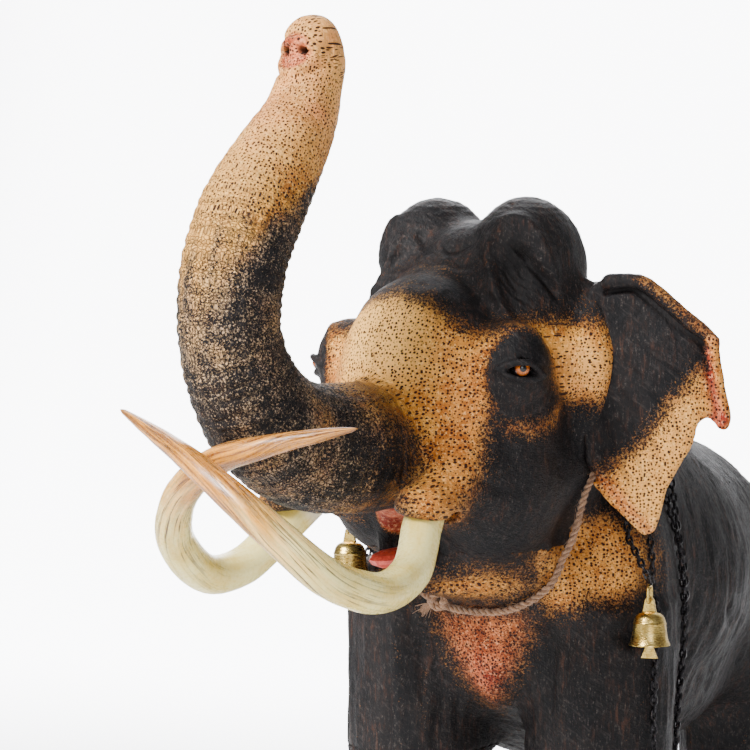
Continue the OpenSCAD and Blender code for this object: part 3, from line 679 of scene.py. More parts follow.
def trunk_skin(w, n):
    h = to_head(w)
    along, side = trunk_map(h)
    turn = np.abs(side)
    z = h[:, 2]
    up = ramp(along, 48, 82)
    limit = np.interp(z, [285, 310, 351, 392, 412], [-10, 18, 56, 112, 220])
    level = np.interp(z, [280, 300, 330, 360, 395], [0.30, 0.37, 0.45, 0.57, 1.0])
    rolled = plane(side * 0.3, along)
    drips = fbm(rolled, (4.5, 24, 9), 3, 12)
    tall = level * (1 - ramp(turn - limit + 16 * drips, -46, 40)) * (1 + 0.30 * drips * ramp(z, 410, 370))
    tall = np.maximum(tall, 0.27 + 0.06 * ramp(z, 300, 350) + 0.16 * fbm(h, (13, 13, 13), 2, 14))
    flat_face, tan_face, red_face, pale_face = face_paint(h)
    low = np.maximum(tan_face * (1 - ramp(along, 20, 52)), 0.37 + 0.24 * fbm(h, (13, 13, 13), 2, 14))
    tan = low * (1 - up) + tall * up
    tip = ramp(z, 385, 425)
    red = red_face * (1 - up) + up * 0.62 * tip * (0.62 + 0.38 * noise(h, 9, 2))
    nose = np.linalg.norm(h - [0, -104.5, 440], axis=1)
    red = np.maximum(red, 0.92 * (1 - ramp(nose, 5.5, 10.0)))
    pale = pale_face * (1 - up) + up * (0.55 * (1 - tip) * (1 - ramp(turn, 30, 80)) + 0.85 * tip)
    dots = 1 - ramp(along, 26, 56) * (1 - ramp(z, 372, 400)) * 0.75
    wrinkled = np.interp(z, [300, 372, 398, 415], [0.95, 0.9, 0.30, 0.0]) * ramp(along, 0, 40)
    grooves = np.sin(along * 1.45 + 1.6 * noise(rolled, (9, 5, 9), 3))
    lines = np.sin(side * 0.42 + 2.0 * noise(rolled, (6, 14, 9), 8))
    lift = (0.26 * grooves + 0.13 * lines) * np.interp(z, [300, 372, 405, 420], [1, 1, 0.25, 0])
    lift += 0.28 * fbm(h, (9, 9, 9), 3, 6)
    pad = np.sqrt((h[:, 0] / 9.0) ** 2 + ((z - 438.5) / 6.4) ** 2) + 9 * (h[:, 1] > -95)
    lift += 1.3 * peak(pad - 0.86, 0.20) - 0.8 * peak(pad - 1.28, 0.16)
    holes = np.hypot(np.abs(h[:, 0]) - NOSTRIL[0], z - NOSTRIL[2]) + 9 * (h[:, 1] > -95)
    # painted shade: a little over the whole trunk but its tip, more in the troughs of the wrinkle grooves, and a
    # painted shadow deep in the nostrils
    shade = np.clip(0.10 - 0.35 * grooves * wrinkled, 0, 0.30) * (1 - tip) + 0.9 * (1 - ramp(holes, 1.7, 2.7))
    span = np.interp(along, np.linspace(0, 280, TRUNK_STEPS), TRUNK_RADIUS)
    flat = plane(np.radians(side) * span, along)
    last = ramp(along, along.max() - 14, along.max() - 1)[:, None]
    flat = flat * (1 - last) + plane(h[:, 0], along.max() + z - TRUNK[-1, 1]) * last
    keep = ramp(along, 3, 16)[:, None]
    flat = flat * keep + flat_face * (1 - keep)
    return w + n * (lift * ramp(along, 0, 5))[:, None], coat(flat, tan, red, pale, dots, wrinkled, shade)


# outlines of painted patches: mm across the chest, and up
SHOULDER = [
    [29, 266], [44, 270], [56, 266], [62, 254], [60, 242], [52, 236], [42, 237], [36, 233], [28, 232], [25, 238],
    [27, 250]]
CHEST = [[0, 236], [10, 235], [22, 233], [20, 224], [14, 212], [8, 202], [3, 195], [0, 193]]
FOLDS = [
    # [points in the body frame with X taken positive, width, height]
    ([[34, -78, 252], [30, -79, 238], [27, -75, 222], [26, -72, 204], [27, -72, 186]], 2.6, -1.6),
    ([[40, -76, 246], [38, -76, 232], [36, -75, 214], [36, -75, 192]], 2.2, 1.0),
    ([[58, -62, 252], [61, -56, 238], [62, -50, 222], [60, -48, 200]], 2.6, -1.2),
    ([[62, -20, 250], [66, -6, 236], [66, 8, 222], [60, 16, 206], [52, 20, 192]], 3.2, -2.2),
    ([[64, -8, 262], [69, 6, 250], [70, 20, 236], [66, 30, 220], [58, 34, 204]], 3.6, 1.9),
    ([[66, 30, 230], [66, 44, 216], [60, 56, 202]], 2.8, -1.2),
    ([[62, 84, 256], [62, 98, 238], [58, 108, 218], [50, 112, 198]], 4.5, -2.0),
    ([[58, 150, 262], [56, 168, 240], [48, 176, 215]], 4.0, -0.9),
    ([[16, -80, 240], [14, -79, 226], [9, -75, 210], [4, -70, 197]], 2.2, -1.1),
    ([[22, -79, 236], [20, -78, 222], [18, -74, 206], [17, -70, 190]], 2.0, 0.9),
]


def body_skin(w, n):
    b = w - SHIFT
    m = fold(b)
    h = to_head(w)
    bearing = np.degrees(np.arctan2(b[:, 0], -(b[:, 1] + 8)))
    flat = plane(bearing * 1.15, b[:, 2])
    front = 1 - ramp(b[:, 1], -52, -28)
    tan = 0.84 * front * patch(m[:, 0], b[:, 2], SHOULDER, 9) * (0.30 + 0.70 * ramp(b[:, 0], -5, 15))
    chest = front * patch(m[:, 0], b[:, 2], CHEST + [[-20, 193], [-20, 236]], 10) * 0.72
    throat = 0.86 * blob(fold(h), (12, -16, 246), (22, 28, 9.5))
    tan = np.maximum(np.maximum(tan, chest), throat * (b[:, 2] > 228))
    red = np.maximum(0.16, ramp(chest, 0.1, 0.5) * (0.72 + 0.28 * blob(b, (0, -72, 206), (12, 12, 14))))
    vertical = fbm(b, (3.2, 3.2, 26), 3, 2)
    low = 1 - ramp(b[:, 2], 225, 275)
    lift = sum(stroke(m, *s) for s in FOLDS)
    lift += 0.42 * fbm(b, (16, 16, 16), 3, 5) + (0.22 + 0.42 * low) * vertical
    lift += 0.14 * noise(b, (1.6, 1.6, 6), 9)
    tan = np.maximum(tan, 0.10 * low * ramp(vertical, 0.3, 0.9))
    # painted shade in the folds and hollows that the lift cuts in
    shade = np.clip(-0.20 * lift - 0.10, 0, 0.5)
    mouth = inside_mouth(h) * (w[:, 2] > 244)
    tan, red = np.maximum(tan, mouth), np.maximum(red, mouth)
    w = w + n * lift[:, None]
    w[:, 2] = np.maximum(w[:, 2], 0)
    return w, coat(flat, tan, red, 0.15, 1 - mouth, 0.16 * front, shade)


# outlines and lines on the ear: mm across it, and up
EAR_TAN = [
    [43.5, 329], [38.9, 327], [33, 324], [30.4, 319.6], [24.8, 314], [20, 306.5], [14.5, 299], [5.2, 291.5],
    [-0.4, 288], [-9, 284], [-12, 262], [20, 254], [50, 270], [60, 300], [54, 330]]
EAR_TOP = [
    [2, 366], [2, 358.5], [12, 359], [17.5, 355], [24.6, 348.6], [32, 341.6], [38.8, 335.6], [48, 334],
    [48, 366], [14, 366], [11, 360]]
EAR_VEINS = [
    [[-3, 300], [0, 292], [3, 285], [7, 278]], [[0, 305], [4, 297], [8, 289], [12, 281]],
    [[2, 312], [8, 303], [13, 294], [17, 284]], [[4, 322], [12, 311], [19, 300], [23, 290]],
    [[4, 332], [15, 322], [25, 311], [31, 301]], [[4, 342], [16, 334], [28, 326], [37, 318]],
    [[-4, 296], [-3.4, 288], [-1, 282]], [[6, 318], [13, 305], [18, 295]]]


def ear_line(flat, points):
    """Distance to a line drawn on the ear."""
    return nearest(flat, catmull([[a, b, 0] for a, b in points], 24))[1]


def ear_skin(h):
    """The lift and the paint of the ear's two faces."""
    e = to_ear(h)
    s, z = e[:, 0], e[:, 2]
    flat = plane(s, z)
    inside = (e[:, 1] < ear_sheet(s, z) + 0.3).astype(float)
    tan = patch(s, z, EAR_TAN, 8.0)
    rim = patch(s, z, EAR_TOP, 2.6) * ramp(s, 6, 15)
    tan = np.maximum(tan, 0.60 * rim)
    rear = peak(ear_line(flat, EAR_REAR_FOLD) - 0.6, 2.6, 4)
    crease = peak(ear_line(flat, EAR_REAR_CREASE), 2.0)
    hook = np.exp(-(((s - 43.5) / 4.4) ** 2 + ((z - 306.5) / 3.6) ** 2) ** 2)
    tan = np.clip(np.maximum(tan, rear), 0, 1)
    red = 0.34 * rim * ramp(s, 26, 38) + 0.12 + 0.95 * crease * inside + 0.85 * hook
    red = np.maximum(red, 0.5 * peak(s - (z - 262) * -0.9 - 21, 4) * (z < 292))
    pale = 0.5 * patch(s, z, EAR_TAN, 6) * (1 - ramp(np.abs(s - 22), 6, 20))
    fade = 0.82 + 0.18 * ramp(outline_distance(np.stack([s, z], 1), EAR_TAN), 0, -8)
    lift = sum(stroke(flat, [[a, b, 0] for a, b in v], 1.1, -0.55) for v in EAR_VEINS)
    lift += 0.22 * fbm(h, (7, 7, 7), 3, 8) + 0.10 * noise(np.stack([s - z, s + z, e[:, 1]], 1), (1.6, 7, 3), 5)
    # painted shade in the cut veins, and a painted shadow in the notch behind the rear fold's hook
    shade = np.clip(-lift * 0.42 - 0.05, 0, 0.45) + 0.75 * np.exp(-(((s - 40.4) / 2.2) ** 2 + ((z - 305) / 2.4) ** 2))
    # painted shade under the top fold's crease and along the rear crease
    under = peak(ear_line(flat, EAR_TOP_CREASE), 1.1)
    shade = shade + 0.35 * crease * inside * (z < 322) + 0.9 * under * inside * ramp(s, 2, 9)
    return lift, coat(np.stack([s, z, e[:, 1]], 1), tan * fade, red, pale, 1.0, 0.10, shade)


# ------------------------------------------------------------------ meshing

def surface(field, lo, hi, step):
    """Meshes the zero surface of a field in a box, block by block near it: points in mm, and quads."""
    lo = np.asarray(lo, float)
    blocks = np.ceil((np.asarray(hi, float) - lo) / (4 * step)).astype(int) + 1
    corner = np.stack(np.meshgrid(*[np.arange(n) for n in blocks], indexing="ij"), -1).reshape(-1, 3)
    d = field(lo + (corner * 4 + 1.5) * step)
    dense = np.where(d > 0, 3 * step, -3 * step).astype(np.float32).reshape(blocks)
    for axis in range(3):
        dense = np.repeat(dense, 4, axis)
    near = corner[np.abs(d) < 6.5 * step]
    inner = np.stack(np.meshgrid(*[np.arange(4)] * 3, indexing="ij"), -1).reshape(-1, 3)
    for k in range(0, len(near), 6000):
        idx = (near[k:k + 6000, None] * 4 + inner).reshape(-1, 3)
        dense[idx[:, 0], idx[:, 1], idx[:, 2]] = np.clip(field(lo + idx * step), -3 * step, 3 * step)
    grid = vdb.FloatGrid(background=3.0 * step)
    grid.copyFromArray(dense)
    points, quads = grid.convertToQuads(0.0)
    points, quads = points.astype(float) * step + lo, quads.astype(np.int64)
    used = np.zeros(len(points), bool)
    used[quads] = True
    return points[used], (np.cumsum(used) - 1)[quads]


def normals(v, f):
    """Unit normals at the points of a mesh of quads."""
    n = np.cross(v[f[:, 2]] - v[f[:, 0]], v[f[:, 3]] - v[f[:, 1]])
    out = np.zeros_like(v)
    for k in range(4):
        for axis in range(3):
            out[:, axis] += np.bincount(f[:, k], n[:, axis], len(v))
    return out / np.maximum(np.linalg.norm(out, axis=1), 1e-9)[:, None]


def make(name, v, faces, material, nodes, attrs=None, sharp=40, body="root"):
    """A piece of quads that rides a body and takes the place of its CAD nodes."""
    me = bpy.data.meshes.new(name)
    me.vertices.add(len(v))
    me.vertices.foreach_set("co", (v / 1000).astype(np.float32).ravel())
    me.loops.add(faces.size)
    me.loops.foreach_set("vertex_index", faces.astype(np.int32).ravel())
    me.polygons.add(len(faces))
    me.polygons.foreach_set("loop_start", np.arange(0, faces.size, 4, dtype=np.int32))
    me.update(calc_edges=True)
    me.polygons.foreach_set("use_smooth", np.ones(len(faces), bool))
    if sharp:
        me.set_sharp_from_angle(angle=math.radians(sharp))
    for key, value in (attrs or {}).items():
        value = np.asarray(value, np.float32)
        kind, field = ("FLOAT", "value") if value.ndim == 1 else ("FLOAT_VECTOR", "vector")
        me.attributes.new(key, kind, "POINT").data.foreach_set(field, value.ravel())
    me.validate()
    me.materials.append(material)
    obj = bpy.data.objects.new(name, me)
    bpy.context.scene.collection.objects.link(obj)
    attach(obj, body)
    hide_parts(*nodes)
    return obj


# ------------------------------------------------------------------ procedural materials

class Paint:
    """A material's node tree, built from short calls."""

    def __init__(self, name):
        self.m = bpy.data.materials.new(name)
        self.m.use_nodes = True
        self.t = self.m.node_tree
        self.b = self.t.nodes["Principled BSDF"]

    def put(self, socket, value):
        if isinstance(value, bpy.types.NodeSocket):
            self.t.links.new(value, socket)
        elif isinstance(value, (tuple, list)) and len(value) == 3 and socket.type == "RGBA":
            socket.default_value = (*value, 1)
        else:
            socket.default_value = value

    def node(self, kind, outputs=0, props=None, **inputs):
        n = self.t.nodes.new("ShaderNode" + kind)
        for key, value in (props or {}).items():
            setattr(n, key, value)
        for key, value in inputs.items():
            self.put(n.inputs[key.replace("_", " ")], value)
        return n.outputs[outputs]

    def op(self, kind, *values):
        n = self.t.nodes.new("ShaderNodeMath")
        n.operation = kind
        for socket, value in zip(n.inputs, values):
            self.put(socket, value)
        return n.outputs[0]

    def times(self, a, b):
        return self.op("MULTIPLY", a, b)

    def plus(self, a, b):
        return self.op("ADD", a, b)

    def attr(self, name, part="Vector"):
        return self.node("Attribute", part, {"attribute_name": name})

    def split(self, vector):
        n = self.t.nodes.new("ShaderNodeSeparateXYZ")
        self.put(n.inputs[0], vector)
        return n.outputs

    def place(self):
        """Object-space position in millimetres."""
        return self.stretch(self.node("TexCoord", "Object"), (1000, 1000, 1000))

    def vector(self, kind, a, b):
        n = self.t.nodes.new("ShaderNodeVectorMath")
        n.operation = kind
        self.put(n.inputs[0], a)
        self.put(n.inputs[1], b)
        return n.outputs[0]

    def stretch(self, vector, scale):
        return self.vector("MULTIPLY", vector, scale)

    def turn(self, vector, angle, scale):
        """Turns the grain about Y by an angle in degrees, then stretches it."""
        n = self.t.nodes.new("ShaderNodeMapping")
        n.vector_type = "TEXTURE"
        self.put(n.inputs["Vector"], vector)
        n.inputs["Rotation"].default_value = (0, math.radians(angle), 0)
        n.inputs["Scale"].default_value = scale
        return n.outputs[0]

    def noise(self, vector, size, detail=3.0, rough=0.55):
        return self.node("TexNoise", "Fac", Vector=vector, Scale=1.0 / size, Detail=detail, Roughness=rough)

    def cells(self, vector, size, feature="F1", out="Distance", spread=1.0):
        props = {"feature": feature, "voronoi_dimensions": "2D"}
        return self.node("TexVoronoi", out, props, Vector=vector, Scale=1.0 / size, Randomness=spread)

    def ease(self, value, low, high, to_low=0.0, to_high=1.0):
        """Takes low to high over to to_low to to_high, smoothly."""
        n = self.t.nodes.new("ShaderNodeMapRange")
        n.interpolation_type = "SMOOTHSTEP"
        for socket, v in zip(n.inputs, (value, low, high, to_low, to_high)):
            self.put(socket, v)
        return n.outputs[0]

    def mix(self, share, a, b):
        """Colour a, with a share of b over it."""
        n = self.t.nodes.new("ShaderNodeMix")
        n.data_type = "RGBA"
        self.put(n.inputs[0], share)
        self.put(n.inputs[6], a)
        self.put(n.inputs[7], b)
        return n.outputs[2]

    def bump(self, height, depth, under=None):
        """Raises the surface by height times depth millimetres."""
        n = self.t.nodes.new("ShaderNodeBump")
        n.inputs["Strength"].default_value = 1.0
        n.inputs["Distance"].default_value = depth / 1000
        self.put(n.inputs["Height"], height)
        if under is not None:
            self.put(n.inputs["Normal"], under)
        return n.outputs[0]

    def finish(self, **inputs):
        for key, value in inputs.items():
            self.put(self.b.inputs[key.replace("_", " ")], value)
        return self.m


def painted_wood():
    """Black paint over carved wood, with stippled tan, orange and pink patches and dark dots, and painted shade in
    recesses and creases.
    """
    p = Paint("painted_wood")
    at = p.place()
    flat = p.attr("skin")
    tan, red, pale = p.split(p.attr("paint"))
    # the mark attribute holds the dots, the wrinkles and the painted shade
    dots, wrinkled, shade = p.split(p.attr("mark"))
    # black paint with rubbed brown streaks and grey-blue flecks along the grain
    long_way = p.stretch(at, (1, 1, 0.2))
    streak = p.noise(long_way, 1.7, 4.0, 0.75)
    broad = p.noise(p.stretch(at, (1, 1, 0.45)), 9.0, 4.0, 0.6)
    fine = p.noise(at, 0.75, 3.0, 0.75)
    grain = p.noise(p.stretch(at, (1, 1, 0.28)), 0.80, 3.0, 0.75)
    hatch = p.noise(p.turn(at, 38, (6.0, 2.0, 1.0)), 1.25, 3.0, 0.7)
    black = p.mix(p.ease(broad, 0.35, 0.7), (0.0034, 0.0034, 0.0042), (0.0085, 0.0070, 0.0072))
    brown_at = p.times(p.ease(streak, 0.50, 0.70), p.ease(broad, 0.40, 0.64, 0.08, 0.80))
    black = p.mix(brown_at, black, (0.062, 0.025, 0.014))
    fleck_at = p.times(p.ease(grain, 0.52, 0.68), p.ease(fine, 0.44, 0.60, 0.0, 0.75))
    black = p.mix(fleck_at, black, (0.082, 0.066, 0.059))
    black = p.mix(p.ease(hatch, 0.54, 0.70, 0.0, 0.42), black, (0.045, 0.036, 0.033))
    # stippled patches: fine flecks let the black through where the cover is thin
    fleck = p.noise(at, 0.80, 3.0, 0.85)
    blot = p.noise(at, 5.0, 3.0, 0.6)
    cut = p.plus(p.times(fleck, 0.80), p.times(blot, 0.20))
    edge = p.op("SUBTRACT", tan, p.ease(cut, 0.32, 0.68, 0.03, 0.93))
    cover = p.ease(edge, -0.08, 0.13)
    tone = p.noise(at, 7.5, 3.0, 0.6)
    warm = p.mix(p.ease(tone, 0.34, 0.68), (0.42, 0.125, 0.012), (0.66, 0.285, 0.040))
    warm = p.mix(pale, warm, (0.93, 0.50, 0.125))
    pink = p.mix(p.ease(tone, 0.4, 0.66), (0.26, 0.018, 0.008), (0.72, 0.170, 0.070))
    warm = p.mix(red, warm, pink)
    speck = p.ease(p.noise(at, 0.95, 3.0, 0.8), 0.53, 0.66)
    warm = p.mix(p.times(speck, 0.62), warm, (0.13, 0.038, 0.010))
    glow = p.ease(p.noise(at, 1.3, 3.0, 0.75), 0.50, 0.66)
    warm = p.mix(p.times(glow, 0.62), warm, p.mix(red, (0.95, 0.57, 0.17), (0.93, 0.42, 0.22)))
    thin = p.ease(tan, 0.22, 0.75, 0.80, 0.0)
    warm = p.mix(p.times(thin, wrinkled), warm, (0.48, 0.39, 0.29))
    burnt = p.times(p.ease(tan, 0.30, 0.85, 0.75, 0.0), p.ease(wrinkled, 0.1, 0.6, 1.0, 0.0))
    warm = p.mix(burnt, warm, (0.16, 0.058, 0.016))
    color = p.mix(cover, black, warm)
    # brush-point dots, each a little different
    jitter = p.node("TexNoise", "Color", Vector=flat, Scale=0.22, Detail=2.0)
    spot = p.stretch(flat, (1, 1, 0))
    spots = p.vector("ADD", spot, jitter)
    away = p.cells(spots, 1.45, spread=0.8)
    tint = p.split(p.cells(spots, 1.45, out="Color", spread=0.8))[0]
    size = p.ease(tint, 0.0, 1.0, 0.15, 0.32)
    dot = p.times(p.ease(p.op("SUBTRACT", away, size), -0.035, 0.045, 1.0, 0.0), p.ease(dots, 0.15, 0.5))
    dot = p.times(dot, p.ease(tan, 0.25, 0.6))
    color = p.mix(p.times(dot, 0.97), color, (0.020, 0.006, 0.004))
    # wrinkles: fine cross-hatched cracks, bumped in and darkened towards black as painted shade in their grooves,
    # between light cells
    ring = p.cells(p.stretch(flat, (0.70, 1.0, 0)), 1.25, "DISTANCE_TO_EDGE")
    crack_and_shade = p.times(p.ease(ring, 0.0, 0.20, 1.0, 0.0), wrinkled)
    color = p.mix(p.times(crack_and_shade, 0.88), color, (0.005, 0.004, 0.005))
    # painted shade: darkens the colour towards black in cuts, creases, hollows, the mouth and the nostrils
    color = p.mix(shade, color, (0.006, 0.005, 0.005))
    rough = p.plus(p.ease(fine, 0.3, 0.7, 0.45, 0.66), p.times(cover, 0.06))
    relief = p.plus(p.times(grain, 0.7), p.times(streak, 0.9))
    relief = p.plus(relief, p.times(hatch, p.ease(cover, 0.0, 1.0, 1.1, 0.3)))
    normal = p.bump(relief, 0.42)
    normal = p.bump(fine, 0.10, normal)
    normal = p.bump(p.times(crack_and_shade, -1.0), 0.22, normal)
    normal = p.bump(p.times(dot, -1.0), 0.09, normal)
    return p.finish(Base_Color=color, Roughness=rough, Normal=normal, Specular_IOR_Level=0.16)


def ivory_paint():
    """Cream at the root, brown-orange towards the tip, with long dark hairlines."""
    p = Paint("ivory_paint")
    flat = p.attr("skin")
    along = p.attr("along", "Fac")
    reach = p.attr("reach", "Fac")
    long_way = p.stretch(flat, (1, 1, 0.055))
    streak = p.noise(long_way, 1.6, 4.0, 0.65)
    fine = p.noise(p.stretch(flat, (1, 1, 0.02)), 1.9, 3.0, 0.6)
    hair = p.ease(p.op("ABSOLUTE", p.op("SUBTRACT", fine, 0.5)), 0.006, 0.030, 1.0, 0.0)
    blot = p.noise(p.stretch(flat, (1, 1, 0.3)), 7.0, 3.0, 0.6)
    drift = p.plus(along, p.times(p.op("SUBTRACT", blot, 0.5), 0.28))
    brown = p.ease(drift, 0.36, 0.70)
    base = p.mix(p.ease(blot, 0.35, 0.68), (0.97, 0.84, 0.34), (0.84, 0.62, 0.14))
    base = p.mix(p.ease(reach, 3, 9, 0.85, 0.0), base, (0.90, 0.82, 0.64))
    tip = p.mix(p.ease(streak, 0.36, 0.64), (0.17, 0.036, 0.003), (0.80, 0.28, 0.014))
    color = p.mix(p.times(brown, p.ease(streak, 0.25, 0.6, 1.0, 0.90)), base, tip)
    lines = p.times(hair, p.ease(drift, 0.16, 0.55, 0.06, 0.95))
    lines = p.times(lines, p.ease(p.noise(p.stretch(flat, (1, 1, 0.12)), 2.8, 3.0, 0.6), 0.40, 0.54))
    color = p.mix(lines, color, (0.050, 0.016, 0.004))
    worn = p.times(p.ease(p.noise(flat, 2.6, 4.0, 0.75), 0.63, 0.74), p.ease(drift, 0.3, 0.5, 0.30, 0.05))
    color = p.mix(worn, color, (0.78, 0.70, 0.48))
    grub = p.times(p.ease(p.noise(flat, 5.0, 5.0, 0.8), 0.60, 0.74), 0.35)
    color = p.mix(grub, color, (0.42, 0.34, 0.15))
    normal = p.bump(p.plus(p.times(lines, -1.0), streak), 0.20)
    rough = p.ease(p.noise(flat, 1.3, 3.0, 0.6), 0.3, 0.7, 0.20, 0.38)
    return p.finish(Base_Color=color, Roughness=rough, Normal=normal, Coat_Weight=0.2, Coat_Roughness=0.18)


def jute_fibre():
    p = Paint("jute")
    at = p.place()
    fine = p.noise(at, 0.30, 4.0, 0.75)
    broad = p.noise(at, 3.0, 3.0, 0.6)
    color = p.mix(p.ease(broad, 0.3, 0.7), (0.13, 0.055, 0.026), (0.32, 0.165, 0.085))
    color = p.mix(p.ease(fine, 0.42, 0.70), color, (0.50, 0.31, 0.18))
    color = p.mix(p.times(p.ease(p.noise(at, 0.9, 3.0, 0.7), 0.56, 0.72), 0.7), color, (0.075, 0.038, 0.024))
    return p.finish(Base_Color=color, Roughness=0.86, Normal=p.bump(fine, 0.14), Sheen_Weight=0.25)


def dark_steel():
    p = Paint("black_steel")
    at = p.place()
    worn = p.ease(p.noise(at, 0.9, 4.0, 0.7), 0.52, 0.70)
    color = p.mix(worn, (0.016, 0.015, 0.017), (0.085, 0.072, 0.066))
    color = p.mix(p.ease(p.noise(at, 2.2, 4.0, 0.7), 0.60, 0.74, 0.0, 0.6), color, (0.070, 0.034, 0.020))
    rough = p.ease(p.noise(at, 0.5, 3.0, 0.7), 0.3, 0.7, 0.22, 0.46)
    return p.finish(Base_Color=color, Metallic=0.85, Roughness=rough, Normal=p.bump(p.noise(at, 0.35), 0.05))


def yellow_brass():
    p = Paint("brass")
    at = p.place()
    worn = p.noise(at, 2.4, 5.0, 0.7)
    color = p.mix(p.ease(worn, 0.38, 0.68), (0.44, 0.285, 0.070), (0.70, 0.52, 0.175))
    tarnish = p.ease(p.noise(at, 1.2, 5.0, 0.75), 0.57, 0.72, 0.0, 0.7)
    color = p.mix(tarnish, color, (0.20, 0.125, 0.040))
    turned = p.noise(p.stretch(at, (0.12, 0.12, 1)), 0.22, 2.0, 0.6)
    rough = p.plus(p.ease(turned, 0.3, 0.7, 0.20, 0.34), p.times(tarnish, 0.22))
    normal = p.bump(p.plus(turned, p.noise(at, 0.5, 3.0, 0.7)), 0.05)
    return p.finish(Base_Color=color, Metallic=1.0, Roughness=rough, Normal=normal)


def glass_eyes():
    """A glossy amber iris with fine spokes, a black pupil and a black rim."""
    p = Paint("glass_eye")
    away = p.attr("away", "Fac")
    spin = p.attr("skin")
    spokes = p.noise(p.stretch(spin, (7, 7, 0.8)), 1.0, 4.0, 0.7)
    iris = p.mix(p.ease(spokes, 0.34, 0.68), (0.14, 0.024, 0.001), (0.62, 0.150, 0.002))
    iris = p.mix(p.ease(away, 20, 44, 0.0, 0.85), iris, (0.095, 0.020, 0.002))
    color = p.mix(p.ease(away, 17.0, 20.0, 1.0, 0.0), iris, (0.002, 0.002, 0.002))
    color = p.mix(p.ease(away, 40.0, 46.0), color, (0.004, 0.003, 0.003))
    rough = p.ease(p.noise(p.place(), 0.6), 0.3, 0.7, 0.05, 0.09)
    return p.finish(Base_Color=color, Roughness=rough, Coat_Weight=0.3, Coat_Roughness=0.02, Specular_IOR_Level=0.35)


def varied(name, low, high, mark, rough, size=1.0):
    """One colour family with grain along Z, freckles and varied gloss."""
    p = Paint(name)
    at = p.place()
    grain = p.noise(p.stretch(at, (1, 1, 0.3)), size, 4.0, 0.7)
    freckle = p.ease(p.noise(at, size * 0.8, 4.0, 0.8), 0.58, 0.72, 0.0, 0.8)
    color = p.mix(freckle, p.mix(p.ease(grain, 0.35, 0.68), low, high), mark)
    gloss = p.ease(p.noise(at, size * 0.6), 0.3, 0.7, rough * 0.8, rough * 1.25)
    return p.finish(Base_Color=color, Roughness=gloss, Normal=p.bump(grain, 0.12))


# ------------------------------------------------------------------ swept pieces

def frames(line, side, closed=False):
    """Two directions square to the line at each of its points."""
    if closed:
        way = np.roll(line, -1, 0) - np.roll(line, 1, 0)
    else:
        way = np.gradient(line, axis=0)
    way /= np.linalg.norm(way, axis=1)[:, None]
    u = np.cross(np.cross(way, side), way)
    u /= np.maximum(np.linalg.norm(u, axis=1), 1e-9)[:, None]
    return u, np.cross(way, u)


def ring_quads(rings, sides, closed=False):
    """The quads between rings of points that follow one another."""
    i, k = np.meshgrid(np.arange(rings if closed else rings - 1), np.arange(sides), indexing="ij")
    j, m = (i + 1) % rings, (k + 1) % sides
    return np.stack([i * sides + k, i * sides + m, j * sides + m, j * sides + k], -1).reshape(-1, 4)


INSIDE_OUT = [0, 3, 2, 1]


def sweep(line, radius, sides, side=(1, 0, 0), closed=False):
    """A bar of rings along a line; returns points, quads, the angle and the ring of each point."""
    line = np.asarray(line, float)
    n = len(line)
    radius = np.broadcast_to(np.asarray(radius, float), (n,))
    u, v = frames(line, np.asarray(side, float), closed)
    a = np.arange(sides) * 2 * np.pi / sides
    pts = line[:, None] + radius[:, None, None] * (np.cos(a)[:, None] * u[:, None] + np.sin(a)[:, None] * v[:, None])
    pts = pts.reshape(-1, 3)
    quads = ring_quads(n, sides, closed)
    angle, ring = np.tile(a, n), np.repeat(np.arange(n), sides)
    if not closed:
        c = len(pts)
        pts = np.vstack([pts, line[:1], line[-1:]])
        h = np.arange(0, sides, 2)
        one, two, far = (h + 1) % sides, (h + 2) % sides, (n - 1) * sides
        first = np.stack([np.full(len(h), c), two, one, h], 1)
        last = np.stack([np.full(len(h), c + 1), h + far, one + far, two + far], 1)
        quads = np.vstack([quads, first, last])
        angle, ring = np.append(angle, [0, 0]), np.append(ring, [0, n - 1])
    return pts, quads, angle, ring


def gather(parts):
    """Joins (points, quads) pairs into one."""
    v, f, k = [], [], 0
    for p, q in parts:
        v.append(p)
        f.append(q + k)
        k += len(p)
    return np.vstack(v), np.vstack(f)


def place(line):
    """Body-frame points in world millimetres."""
    return np.asarray(line, float) + SHIFT


# ------------------------------------------------------------------ chains of real links

def off_skin(line):
    """Each point's distance from the carved skin, and the way out of it."""
    grad = np.stack([carved(line + e) - carved(line - e) for e in np.eye(3) * 0.5], 1)
    return carved(line), grad / np.maximum(np.linalg.norm(grad, axis=1), 1e-6)[:, None]


def settle(line, gap):
    """Lays a route on the skin where it runs close to it, and lifts it out where it would sink in."""
    line = line.copy()
    for _ in range(6):
        d, grad = off_skin(line)
        push = np.where(d < gap + 7, gap - d, 0) * np.where(d < gap, 1.0, 1 - ramp(d, gap + 2.5, gap + 7))
        line += grad * push[:, None]
    for _ in range(3):
        line[1:-1] = 0.25 * line[:-2] + 0.5 * line[1:-1] + 0.25 * line[2:]
    return line


def link_shape(length, width, wire, around=18, sides=7):
    """One oval wire link along X, lying in the XY plane."""
    t = np.arange(around) * 2 * np.pi / around
    half, arm = width / 2 - wire, length / 2 - width / 2
    x = half * np.cos(t) + np.where(np.cos(t) > 0, arm, -arm) * np.minimum(1, np.abs(np.cos(t)) * 3)
    y = half * np.sin(t) * (1 - 0.12 * np.cos(t) ** 2)
    return sweep(plane(x, y), wire, sides, (0, 0, 1), True)[:2]


